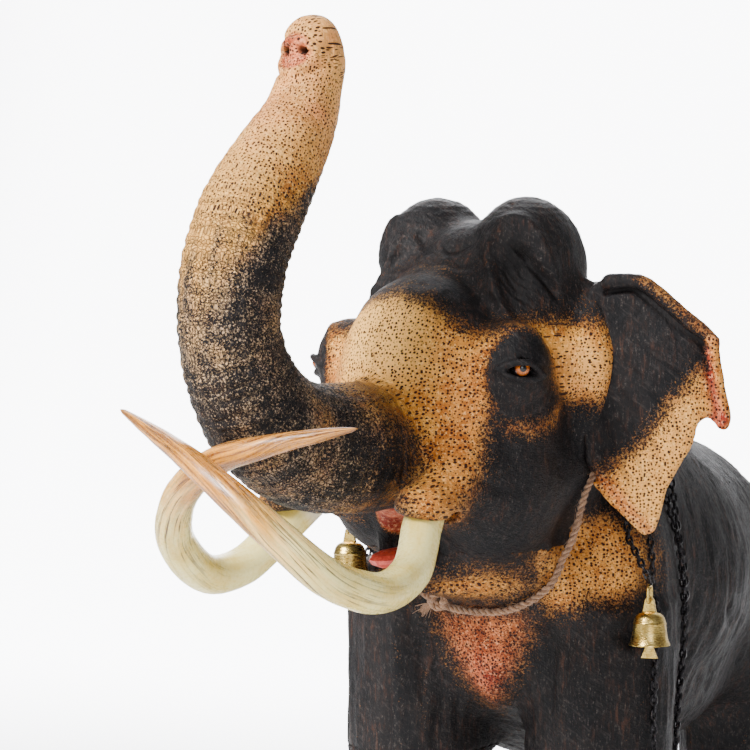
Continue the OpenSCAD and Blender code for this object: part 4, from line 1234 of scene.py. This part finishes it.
def chain(line, closed=False, pitch=2.75, length=4.4, width=3.0, wire=0.54, seed=0):
    """Interlocked links along a line, each a quarter turn from the last and a little slack."""
    shape, quads = link_shape(length, width, wire)
    total = even(line, 4, closed)[1]
    count = int(round(total / pitch / 2)) * 2 if closed else int(total / pitch)
    pts, _ = even(line, count, closed)
    u, v = frames(pts, np.array([0.3, 1, 0.2]), closed)
    way = np.cross(u, v)
    rng = np.random.default_rng(40 + seed)
    parts = []
    for i in range(count):
        turn = (i % 2) * math.pi / 2 + math.radians(45) + rng.uniform(-0.22, 0.22)
        a = u[i] * math.cos(turn) + v[i] * math.sin(turn)
        w = way[i] + rng.normal(0, 0.05, 3)
        w /= np.linalg.norm(w)
        a = a - w * (a @ w)
        a /= np.linalg.norm(a)
        b = np.cross(w, a)
        parts.append((pts[i] + shape[:, :1] * w + shape[:, 1:2] * a + shape[:, 2:] * b, quads))
    return gather(parts)


BELL_CHAIN_LEFT = [
    [0, -33.6, 351.2], [25, -39.4, 344.6], [43.5, -47, 324.5], [50, -56, 302], [54, -62, 282], [59, -68, 262]]
BELL_CHAIN_RIGHT = [
    [-20, -29, 343], [-36, -31, 326], [-45, -37, 306], [-46, -42, 290], [-49, -49, 275],
    [-52, -60, 273.5], [-54.5, -71, 274.5]]
LOOP_FRONT = [
    [0, -24, 343.6], [24.3, -28.4, 337.4], [42, -34, 320], [50, -43, 296], [55, -50, 276],
    [61, -55, 256], [62, -57, 237], [61, -59, 208], [61, -59, 180], [61, -58, 150]]
LOOP_REAR = [
    [0, -10, 335], [26, -11.6, 326.6], [42, -17, 312], [51, -22, 290], [60, -26, 266],
    [65, -28, 240], [64, -31, 208], [62, -35, 180], [62, -40, 150]]
LOOP_RIGHT_FRONT = [
    [-24, -23, 339], [-40, -24, 319], [-49, -26, 300], [-56, -30, 280], [-62, -34, 262],
    [-66, -37, 246], [-66, -39, 228], [-64.5, -41, 208], [-63, -43, 180], [-62.5, -46, 150]]
LOOP_BOTTOM = [63, -49, 138]
HOOK_STRAND = [
    [0, 1, 328.5], [27, 0.4, 320], [44.6, -4, 305], [54.2, -10, 285.4], [58, -15, 264],
    [65, -20, 240], [65, -24, 208], [62, -30, 180], [62, -34, 150], [62, -37, 118]]
LEFT_BELL = np.array([65.0, -72.0, 238.0])
RIGHT_BELL = np.array([-54.0, -78.0, 261.0])
SHACKLE_TOP = 8.1
CHAIN_GAP = 1.5


def flip(points):
    return [[-p[0], p[1], p[2]] for p in points]


def ease(line, steps=400, closed=False):
    return even(catmull(line, steps, closed), steps, closed)[0]


def chains(metal):
    """The bells' chain, the loop round both sides, and the strand with the hooks."""
    line = ease(place(BELL_CHAIN_LEFT[::-1] + BELL_CHAIN_RIGHT))
    line = settle(line, CHAIN_GAP)
    line[0], line[-1] = (place(bell_at + [0, 0, SHACKLE_TOP]) for bell_at in (LEFT_BELL, RIGHT_BELL))
    v, f = chain(ease(line, 300), seed=1)
    make("bell_chain_links", v, f, metal, ("bell_chain",))
    right = flip(LOOP_REAR[1:]) + flip([LOOP_BOTTOM]) + LOOP_RIGHT_FRONT[::-1]
    line = ease(place(LOOP_FRONT + [LOOP_BOTTOM] + LOOP_REAR[::-1] + right), 900, True)
    v, f = chain(settle(line, CHAIN_GAP), True, seed=2)
    make("loop_chain_links", v, f, metal, ("loop_chain",))
    line = ease(place(HOOK_STRAND[::-1] + flip(HOOK_STRAND[1:])), 600)
    v, f = chain(settle(line, CHAIN_GAP), seed=3)
    make("hook_chain_links", v, f, metal, ("hook_chain",))


# ------------------------------------------------------------------ rope

def wind(line, u, v, angle, reach):
    """Winds a line round another, at a reach from it."""
    return line + reach * (np.cos(angle)[:, None] * u + np.sin(angle)[:, None] * v)


def hair(line, thick, thin):
    return sweep(line, np.linspace(thick, thin, len(line)), 4, (0.3, 0.2, 1))[:2]


def rope(fibre):
    """A collar of two plies with their yarns and loose hairs."""
    line = ease(to_world(COLLAR), ROPE_STEPS, True)
    for _ in range(3):
        d, grad = off_skin(line)
        line += grad * (np.maximum(ROPE_GAP - d, 0) * 0.9 - np.clip(d - ROPE_GAP, 0, 1.5) * 0.5)[:, None]
    for _ in range(14):
        line = 0.25 * np.roll(line, 1, 0) + 0.5 * line + 0.25 * np.roll(line, -1, 0)
    line, total = even(line, ROPE_STEPS, True)
    u, v = frames(line, np.array([0.1, 1, 0.15]), True)
    turns = round(total / 5.2)
    t = np.arange(ROPE_STEPS) * 2 * np.pi * turns / ROPE_STEPS
    rng = np.random.default_rng(5)
    parts = []
    for ply in (0, np.pi):
        wobble = 1 + 0.10 * np.sin(t * 0.37 + ply) + rng.normal(0, 0.02, ROPE_STEPS)
        strand = wind(line, u, v, t + ply, 0.66 * wobble[:, None])
        parts.append(sweep(strand, 0.70, 9, (0.1, 1, 0.15), True)[:2])
        for k in range(5):
            yarn = wind(strand, u, v, t * 2.6 + ply + k * 1.26, 0.52)
            parts.append(sweep(yarn[::2], 0.26, 5, (0.1, 1, 0.15), True)[:2])
    for _ in range(900):
        i = rng.integers(0, ROPE_STEPS)
        a = rng.uniform(0, 2 * np.pi)
        out = math.cos(a) * u[i] + math.sin(a) * v[i]
        way = line[(i + 3) % ROPE_STEPS] - line[i]
        way = way / np.linalg.norm(way) * rng.choice([-1, 1])
        reach, lift = rng.uniform(1.5, 4.2), rng.uniform(0.3, 1.7)
        s = np.linspace(0, 1, 5)[:, None]
        stray = line[i] + out * (1.1 + lift * s ** 1.4) + way * reach * s + rng.normal(0, 0.16, (5, 3)) * s
        parts.append(hair(stray, 0.09, 0.04))
    vv, ff = gather(parts)
    make("rope_collar", vv, ff, fibre, ("neck_rope",))
    knot(fibre, rng)


def knot(fibre, rng):
    """Three turns of rope at the throat, with a frayed end to either side."""
    knot_at, beside = to_world([KNOT, KNOT + [1, 0, 0]])
    side = beside - knot_at
    up, out = np.array([0, 0, 1.0]), np.cross(side, [0, 0, 1.0])
    parts = []
    a = np.linspace(0, 2 * np.pi, 60, endpoint=False)
    for k, (w, h, tilt) in enumerate(((4.4, 2.9, 0.5), (3.2, 3.3, -0.5), (2.6, 2.4, 1.5))):
        across = w * np.cos(a) * math.cos(tilt) - h * np.sin(a) * math.sin(tilt)
        above = w * np.cos(a) * math.sin(tilt) + h * np.sin(a) * math.cos(tilt)
        ring = knot_at + side * across[:, None] + up * above[:, None] * 0.9 - out * (0.9 * np.sin(2 * a + k))[:, None]
        for ply in (0, np.pi):
            uu, vv = frames(ring, np.array([0.2, 1, 0.3]), True)
            strand = wind(ring, uu, vv, a * 4 + ply, 0.6)
            parts.append(sweep(strand, 0.72, 8, (0.2, 1, 0.3), True)[:2])
    for end in (-1, 1):
        drop = 0.8 if end > 0 else 1.2
        for _ in range(90):
            s = np.linspace(0, 1, 7)[:, None]
            spread = rng.normal(0, 1, 3) * [1.2, 0.7, 1.2]
            tail_end = knot_at + side * end * (3 + 5.5 * s) - up * (1.2 + 2.6 * s ** 1.5) * drop + spread * s
            parts.append(hair(tail_end, 0.2, 0.07))
    vv, ff = gather(parts)
    make("rope_collar_knot", vv, ff, fibre, ("rope_knot",))


# ------------------------------------------------------------------ tusks, eyes, nails and tail

def tusk(name, points, ivory, node):
    """A tapering bar that starts 13 mm inside the head, with a blunt round end."""
    rings = 230
    p = np.asarray(points, float)
    way = (p[1] - p[0]) / np.linalg.norm(p[1] - p[0])
    line = np.vstack([[p[0] - way * 13, p[0] - way * 6], catmull(p, 220)])
    line, total = even(line, rings)
    t = np.clip((np.arange(rings) / (rings - 1) * total - 8) / (total - 8), 0, 1)
    radius = np.minimum(7.2 * (1 - t ** 2.2) ** 0.75 + 0.45, 7.2)
    radius[-3:] *= [0.93, 0.72, 0.38]
    v, f, angle, ring = sweep(to_world(line), radius, 32)
    s = ring / (rings - 1) * total
    v += normals(v, f) * (0.16 * fbm(v, (9, 9, 9), 2, 3))[:, None]
    mapped = np.stack([np.cos(angle) * 7, np.sin(angle) * 7, s], 1)
    make(name, v, f, ivory, (node,), {"along": s / total, "skin": mapped, "reach": s}, sharp=0)


def eye(name, side, glass, node):
    """The outer cap of a glass ball, drawn out a little over the pupil."""
    rings, sides, radius = 40, 56, 3.98
    c, front = to_world([EYE * [side, 1, 1], EYE * [side, 1, 1] + EYE_AXIS * [side, 1, 1]])
    z = front - c
    x = np.cross([0, 0, 1.0], z)
    x /= np.linalg.norm(x)
    y = np.cross(z, x)
    a = np.linspace(0, np.pi * 0.93, rings)
    k = np.arange(sides) * 2 * np.pi / sides
    r = radius + 0.35 * peak(a, 0.45)
    around = np.cos(k)[:, None] * x + np.sin(k)[:, None] * y
    v = (c + (r * np.cos(a))[:, None, None] * z + (r * np.sin(a))[:, None, None] * around).reshape(-1, 3)
    away = np.repeat(np.degrees(a), sides)
    spin = np.stack([np.cos(np.tile(k, rings)), np.sin(np.tile(k, rings)), away / 60], 1)
    f = ring_quads(rings, sides)[:, INSIDE_OUT]
    make(name, v, f, glass, (node,), {"away": away, "skin": spin}, sharp=0)


def nails(name, x, y, foot, count, material, node):
    """Toenails that fan out round the front of a foot, 34 degrees apart."""
    turns = [math.radians(-90 + 34 * (i - (count - 1) / 2)) for i in range(count)]
    centre = np.array([x, y, 0]) + SHIFT

    def field(w):
        d = np.full(len(w), 1e9)
        q = w - centre
        for a in turns:
            out = np.array([math.cos(a), math.sin(a), 0])
            side = np.array([-math.sin(a), math.cos(a), 0])
            local = np.stack([q @ side, q @ out - foot + 1.6, q[:, 2] - 6.2], 1)
            d = np.minimum(d, smax(egg(local, (0, 0, 0), (5.6, 3.6, 6.6)), 0.8 - w[:, 2], 1.0))
        return d

    v, f = surface(field, centre - [foot + 6, foot + 6, 1], centre + [foot + 6, foot + 6, 15], 0.7)
    v += normals(v, f) * (0.10 * np.sin(v[:, 2] * 2.4 + noise(v, 4) * 2))[:, None]
    make(name, v, f, material, (node,))


def tail(paint, bristle):
    """A creased bar, and the tuft of bristles under it."""
    y, z, thick = catmull(TAIL, 120).T
    line = np.stack([0 * y, y, z], 1) + SHIFT
    v, f, angle, ring = sweep(line, thick * (1 + 0.03 * np.sin(np.arange(120) * 1.3)), 24)
    v += normals(v, f) * (0.3 * fbm(v, (6, 6, 3), 2, 9))[:, None]
    make("tail_skin", v, f, paint, ("tail",),
         {"skin": plane(angle * 5, ring * 1.4)})
    rng = np.random.default_rng(8)
    q = np.asarray(TAIL_HAIR, float)
    parts = []
    for _ in range(420):
        a, r = rng.uniform(0, 2 * np.pi), math.sqrt(rng.uniform(0.05, 1))
        reach = rng.uniform(0.62, 1.0)
        t = np.linspace(0, reach * (len(q) - 1), 9)
        y, z, w = (np.interp(t, np.arange(len(q)), q[:, k]) for k in range(3))
        bend = rng.normal(0, 0.7, 2) * (t[:, None] / 4) ** 2
        x, y = math.cos(a) * r * w * 0.95 + bend[:, 0], y + math.sin(a) * r * w * 0.95 + bend[:, 1]
        parts.append(sweep(np.stack([x, y, z + 1], 1) + SHIFT, np.linspace(0.34, 0.12, 9), 5)[:2])
    v, f = gather(parts)
    make("tail_bristles", v, f, bristle, ("tail_hair",))


# ------------------------------------------------------------------ bells

def lathe(profile, centre, sides=96):
    """Turns a profile of (radius, height) about Z."""
    profile = np.asarray(profile, float)
    a = np.arange(sides) * 2 * np.pi / sides
    v = np.stack([profile[:, 0, None] * np.cos(a), profile[:, 0, None] * np.sin(a),
                  np.repeat(profile[:, 1:], sides, 1)], -1).reshape(-1, 3) + centre
    return v, ring_quads(len(profile), sides)[:, INSIDE_OUT]


def bell(name, at, brass, node, body):
    """A turned bell with a flat pierced lug and the pin that its clapper hangs on."""
    hinge = place(at)
    outer = [[0.0, 0.02], [1.5, 0.0], [3.0, -0.25], [4.2, -0.75], [5.1, -1.5], [5.7, -2.5], [6.0, -3.6], [6.15, -4.1],
             [6.35, -4.3], [6.38, -4.7], [6.2, -4.95], [6.3, -6.2], [6.45, -7.6], [6.65, -9.0], [6.95, -10.3],
             [7.3, -11.3], [7.65, -12.0], [7.8, -12.35], [7.78, -12.6]]
    inner = [[7.5, -12.62], [7.1, -12.1], [6.5, -11.0], [6.0, -9.2], [5.75, -7.6], [5.5, -5.0], [5.2, -3.6],
             [4.5, -2.3], [3.4, -1.4], [1.6, -1.0], [0.0, -0.95]]
    parts = [lathe(outer + inner, hinge - [0, 0, 3.6])]
    lug = [[-2.6, -3.9], [2.6, -3.9], [1.75, 0.7], [1.35, 1.4], [0.6, 1.75], [-0.6, 1.75], [-1.35, 1.4], [-1.75, 0.7]]
    ring, _ = even(np.array([[x, 0, z] for x, z in lug], float), 40, True)
    a = np.arctan2(ring[:, 2], ring[:, 0])
    hole = np.stack([0.72 * np.cos(a), 0 * a, 0.72 * np.sin(a)], 1)
    sides = ((-0.8, 0.93), (-0.62, 1.0), (0.62, 1.0), (0.8, 0.93))
    loops = [ring * [scale, 1, scale] + [0, y, 0] for y, scale in sides]
    loops += [hole * scale + [0, y, 0] for y, scale in ((0.8, 1.0), (0.0, 0.98), (-0.8, 1.0))]
    parts.append((np.vstack(loops) + hinge, ring_quads(len(loops), len(ring), True)))
    pin = np.array([[0, -5.7, -7.2], [0, 5.7, -7.2]]) + hinge
    parts.append(sweep(even(pin, 5)[0], 0.5, 16)[:2])
    v, f = gather(parts)
    make(name, v, f, brass, (node,), sharp=32, body=body)


# ------------------------------------------------------------------ making the pieces

coarse = 1.0
skin = painted_wood()
metal = dark_steel()
jute = jute_fibre()
ivory = ivory_paint()
glass = glass_eyes()
brass = yellow_brass()
nail_paint = varied("nail_paint", (0.42, 0.30, 0.17), (0.62, 0.50, 0.33), (0.20, 0.12, 0.06), 0.42)
bristle = varied("bristle", (0.012, 0.010, 0.010), (0.045, 0.032, 0.026), (0.10, 0.07, 0.05), 0.50)
mouth_paint = varied("mouth_paint", (0.40, 0.030, 0.020), (0.62, 0.085, 0.050), (0.22, 0.02, 0.015), 0.34, 1.2)
bare_wood = varied("bare_wood", (0.36, 0.21, 0.10), (0.58, 0.39, 0.21), (0.24, 0.12, 0.05), 0.6, 1.4)


def carve(name, field, lo, hi, step, node, dress):
    """Meshes one carved part, then cuts its chisel marks and dresses it in paint and painted shade."""
    v, f = surface(field, lo, hi, step * coarse)
    v, attrs = dress(v, normals(v, f))
    make(name, v, f, skin, (node,), attrs, sharp=52)


carve("head_skin", head_part, CLEFT + [-66, -100, 255], CLEFT + [66, 34, 394], 0.85, "head", head_skin)
carve("trunk_skin", trunk_part, CLEFT + [-95, -170, 268], CLEFT + [40, -45, 460], 0.72, "trunk", trunk_skin)
carve("jaw_skin", jaw_part, CLEFT + [-66, -80, 244], CLEFT + [66, 34, 262], 0.85, "lower_jaw", body_skin)
carve("torso_skin", torso_part, SHIFT + [-76, -106, 152], SHIFT + [76, 192, 400], 1.5, "torso", body_skin)
for end, (x, y), foot, count in (("front", FRONT_FOOT, 28, 5), ("rear", REAR_FOOT, 27, 4)):
    for name, side in ((end + "_left", 1), (end + "_right", -1)):
        centre = np.array([x * side, y, 0]) + SHIFT
        lo, hi = centre + [-38, -38, -2], centre + [38, 38, 180]
        if side > 0:
            lo[0] = max(lo[0], SHIFT[0])
        else:
            hi[0] = min(hi[0], SHIFT[0])
        carve(name + "_leg_skin", leg_part, lo, hi, 1.2, name + "_leg", body_skin)
        nails(name + "_nails", x * side, y, foot, count, nail_paint, name + "_toenails")


v, f = surface(ear_field, [36, 0, 256], [96, 46, 366], 0.56 * coarse)
lift, attrs = ear_skin(v)
v = v + normals(v, f) * lift[:, None]
make("left_ear_skin", to_world(v), f, skin, ("left_ear",), attrs)
make("right_ear_skin", to_world(v * [-1, 1, 1]), f[:, ::-1], skin, ("right_ear",), attrs)
tusk("left_tusk_ivory", LEFT_TUSK, ivory, "left_tusk")
tusk("right_tusk_ivory", RIGHT_TUSK, ivory, "right_tusk")
eye("left_eye_glass", 1, glass, "left_eye")
eye("right_eye_glass", -1, glass, "right_eye")
tail(skin, bristle)
rope(jute)
chains(metal)
bell("left_bell_brass", LEFT_BELL, brass, "left_bell", "left_bell_body")
bell("right_bell_brass", RIGHT_BELL, brass, "right_bell", "right_bell_body")

WORN_BY = [
    [mouth_paint, "tongue"],
    [brass, "left_shackle", "right_shackle", "left_clapper", "right_clapper"],
    [metal, "chain_hooks"],
    [bare_wood, "neck_dowel", "jaw_dowel", "trunk_dowel", "leg_dowels", "ear_pegs", "tail_peg"],
]
for own, *names in WORN_BY:
    for name in names:
        for slot in bpy.data.objects[name].material_slots:
            slot.material = own


# ------------------------------------------------------------------ light and floor

def sheet(name, rows, material):
    """A stage surface, 12 m wide, through rows of (y, z) in metres."""
    me = bpy.data.meshes.new(name)
    verts = [(x, y, z) for y, z in rows for x in (-6, 6)]
    me.from_pydata(verts, [], [(2 * i, 2 * i + 1, 2 * i + 3, 2 * i + 2) for i in range(len(rows) - 1)])
    me.polygons.foreach_set("use_smooth", np.ones(len(me.polygons), bool))
    me.materials.append(material)
    obj = bpy.data.objects.new(name, me)
    bpy.context.scene.collection.objects.link(obj)


def studio():
    """White paper that curves up behind the figure and glows there, a pale world and three lamps."""
    paper = Paint("paper")
    at = paper.place()
    fleck = paper.ease(paper.noise(at, 2.0), 0.3, 0.7, 0.84, 0.88)
    x, y, _ = paper.split(at)
    rise = paper.ease(y, 300, 1500, 0.0, 8.0)
    aside = paper.plus(x, paper.times(y, 0.364))
    rise = paper.times(rise, paper.ease(aside, 560, 900, 1.0, 0.0))
    rise = paper.times(rise, paper.ease(aside, -1300, -560, 0.0, 1.0))
    paper.finish(Base_Color=paper.mix(fleck, (0.0, 0.0, 0.0), (1.0, 1.0, 1.0)), Roughness=0.9,
                 Emission_Color=(0.97, 0.97, 1.0), Emission_Strength=rise)
    bend = [(1.6 + 1.4 * math.sin(a), 1.4 - 1.4 * math.cos(a)) for a in np.linspace(0, math.pi / 2, 16)]
    sheet("floor", [(-5, 0)] + bend + [(3, 5)], paper.m)
    world = bpy.data.worlds.new("studio")
    world.use_nodes = True
    sky = world.node_tree.nodes["Background"]
    sky.inputs["Color"].default_value = (0.95, 0.96, 1.0, 1)
    sky.inputs["Strength"].default_value = 0.32
    bpy.context.scene.world = world
    lamp("key", (-1.3, -1.9, 1.9), (0, -0.05, 0.28), (1.0, 1.0), 215)
    lamp("fill", (1.1, -2.3, 0.9), (0, 0, 0.25), (1.0, 1.2), 20)
    lamp("top", (-0.6, 1.6, 2.4), (0, 0.1, 0.3), (1.6, 1.0), 5)


studio()
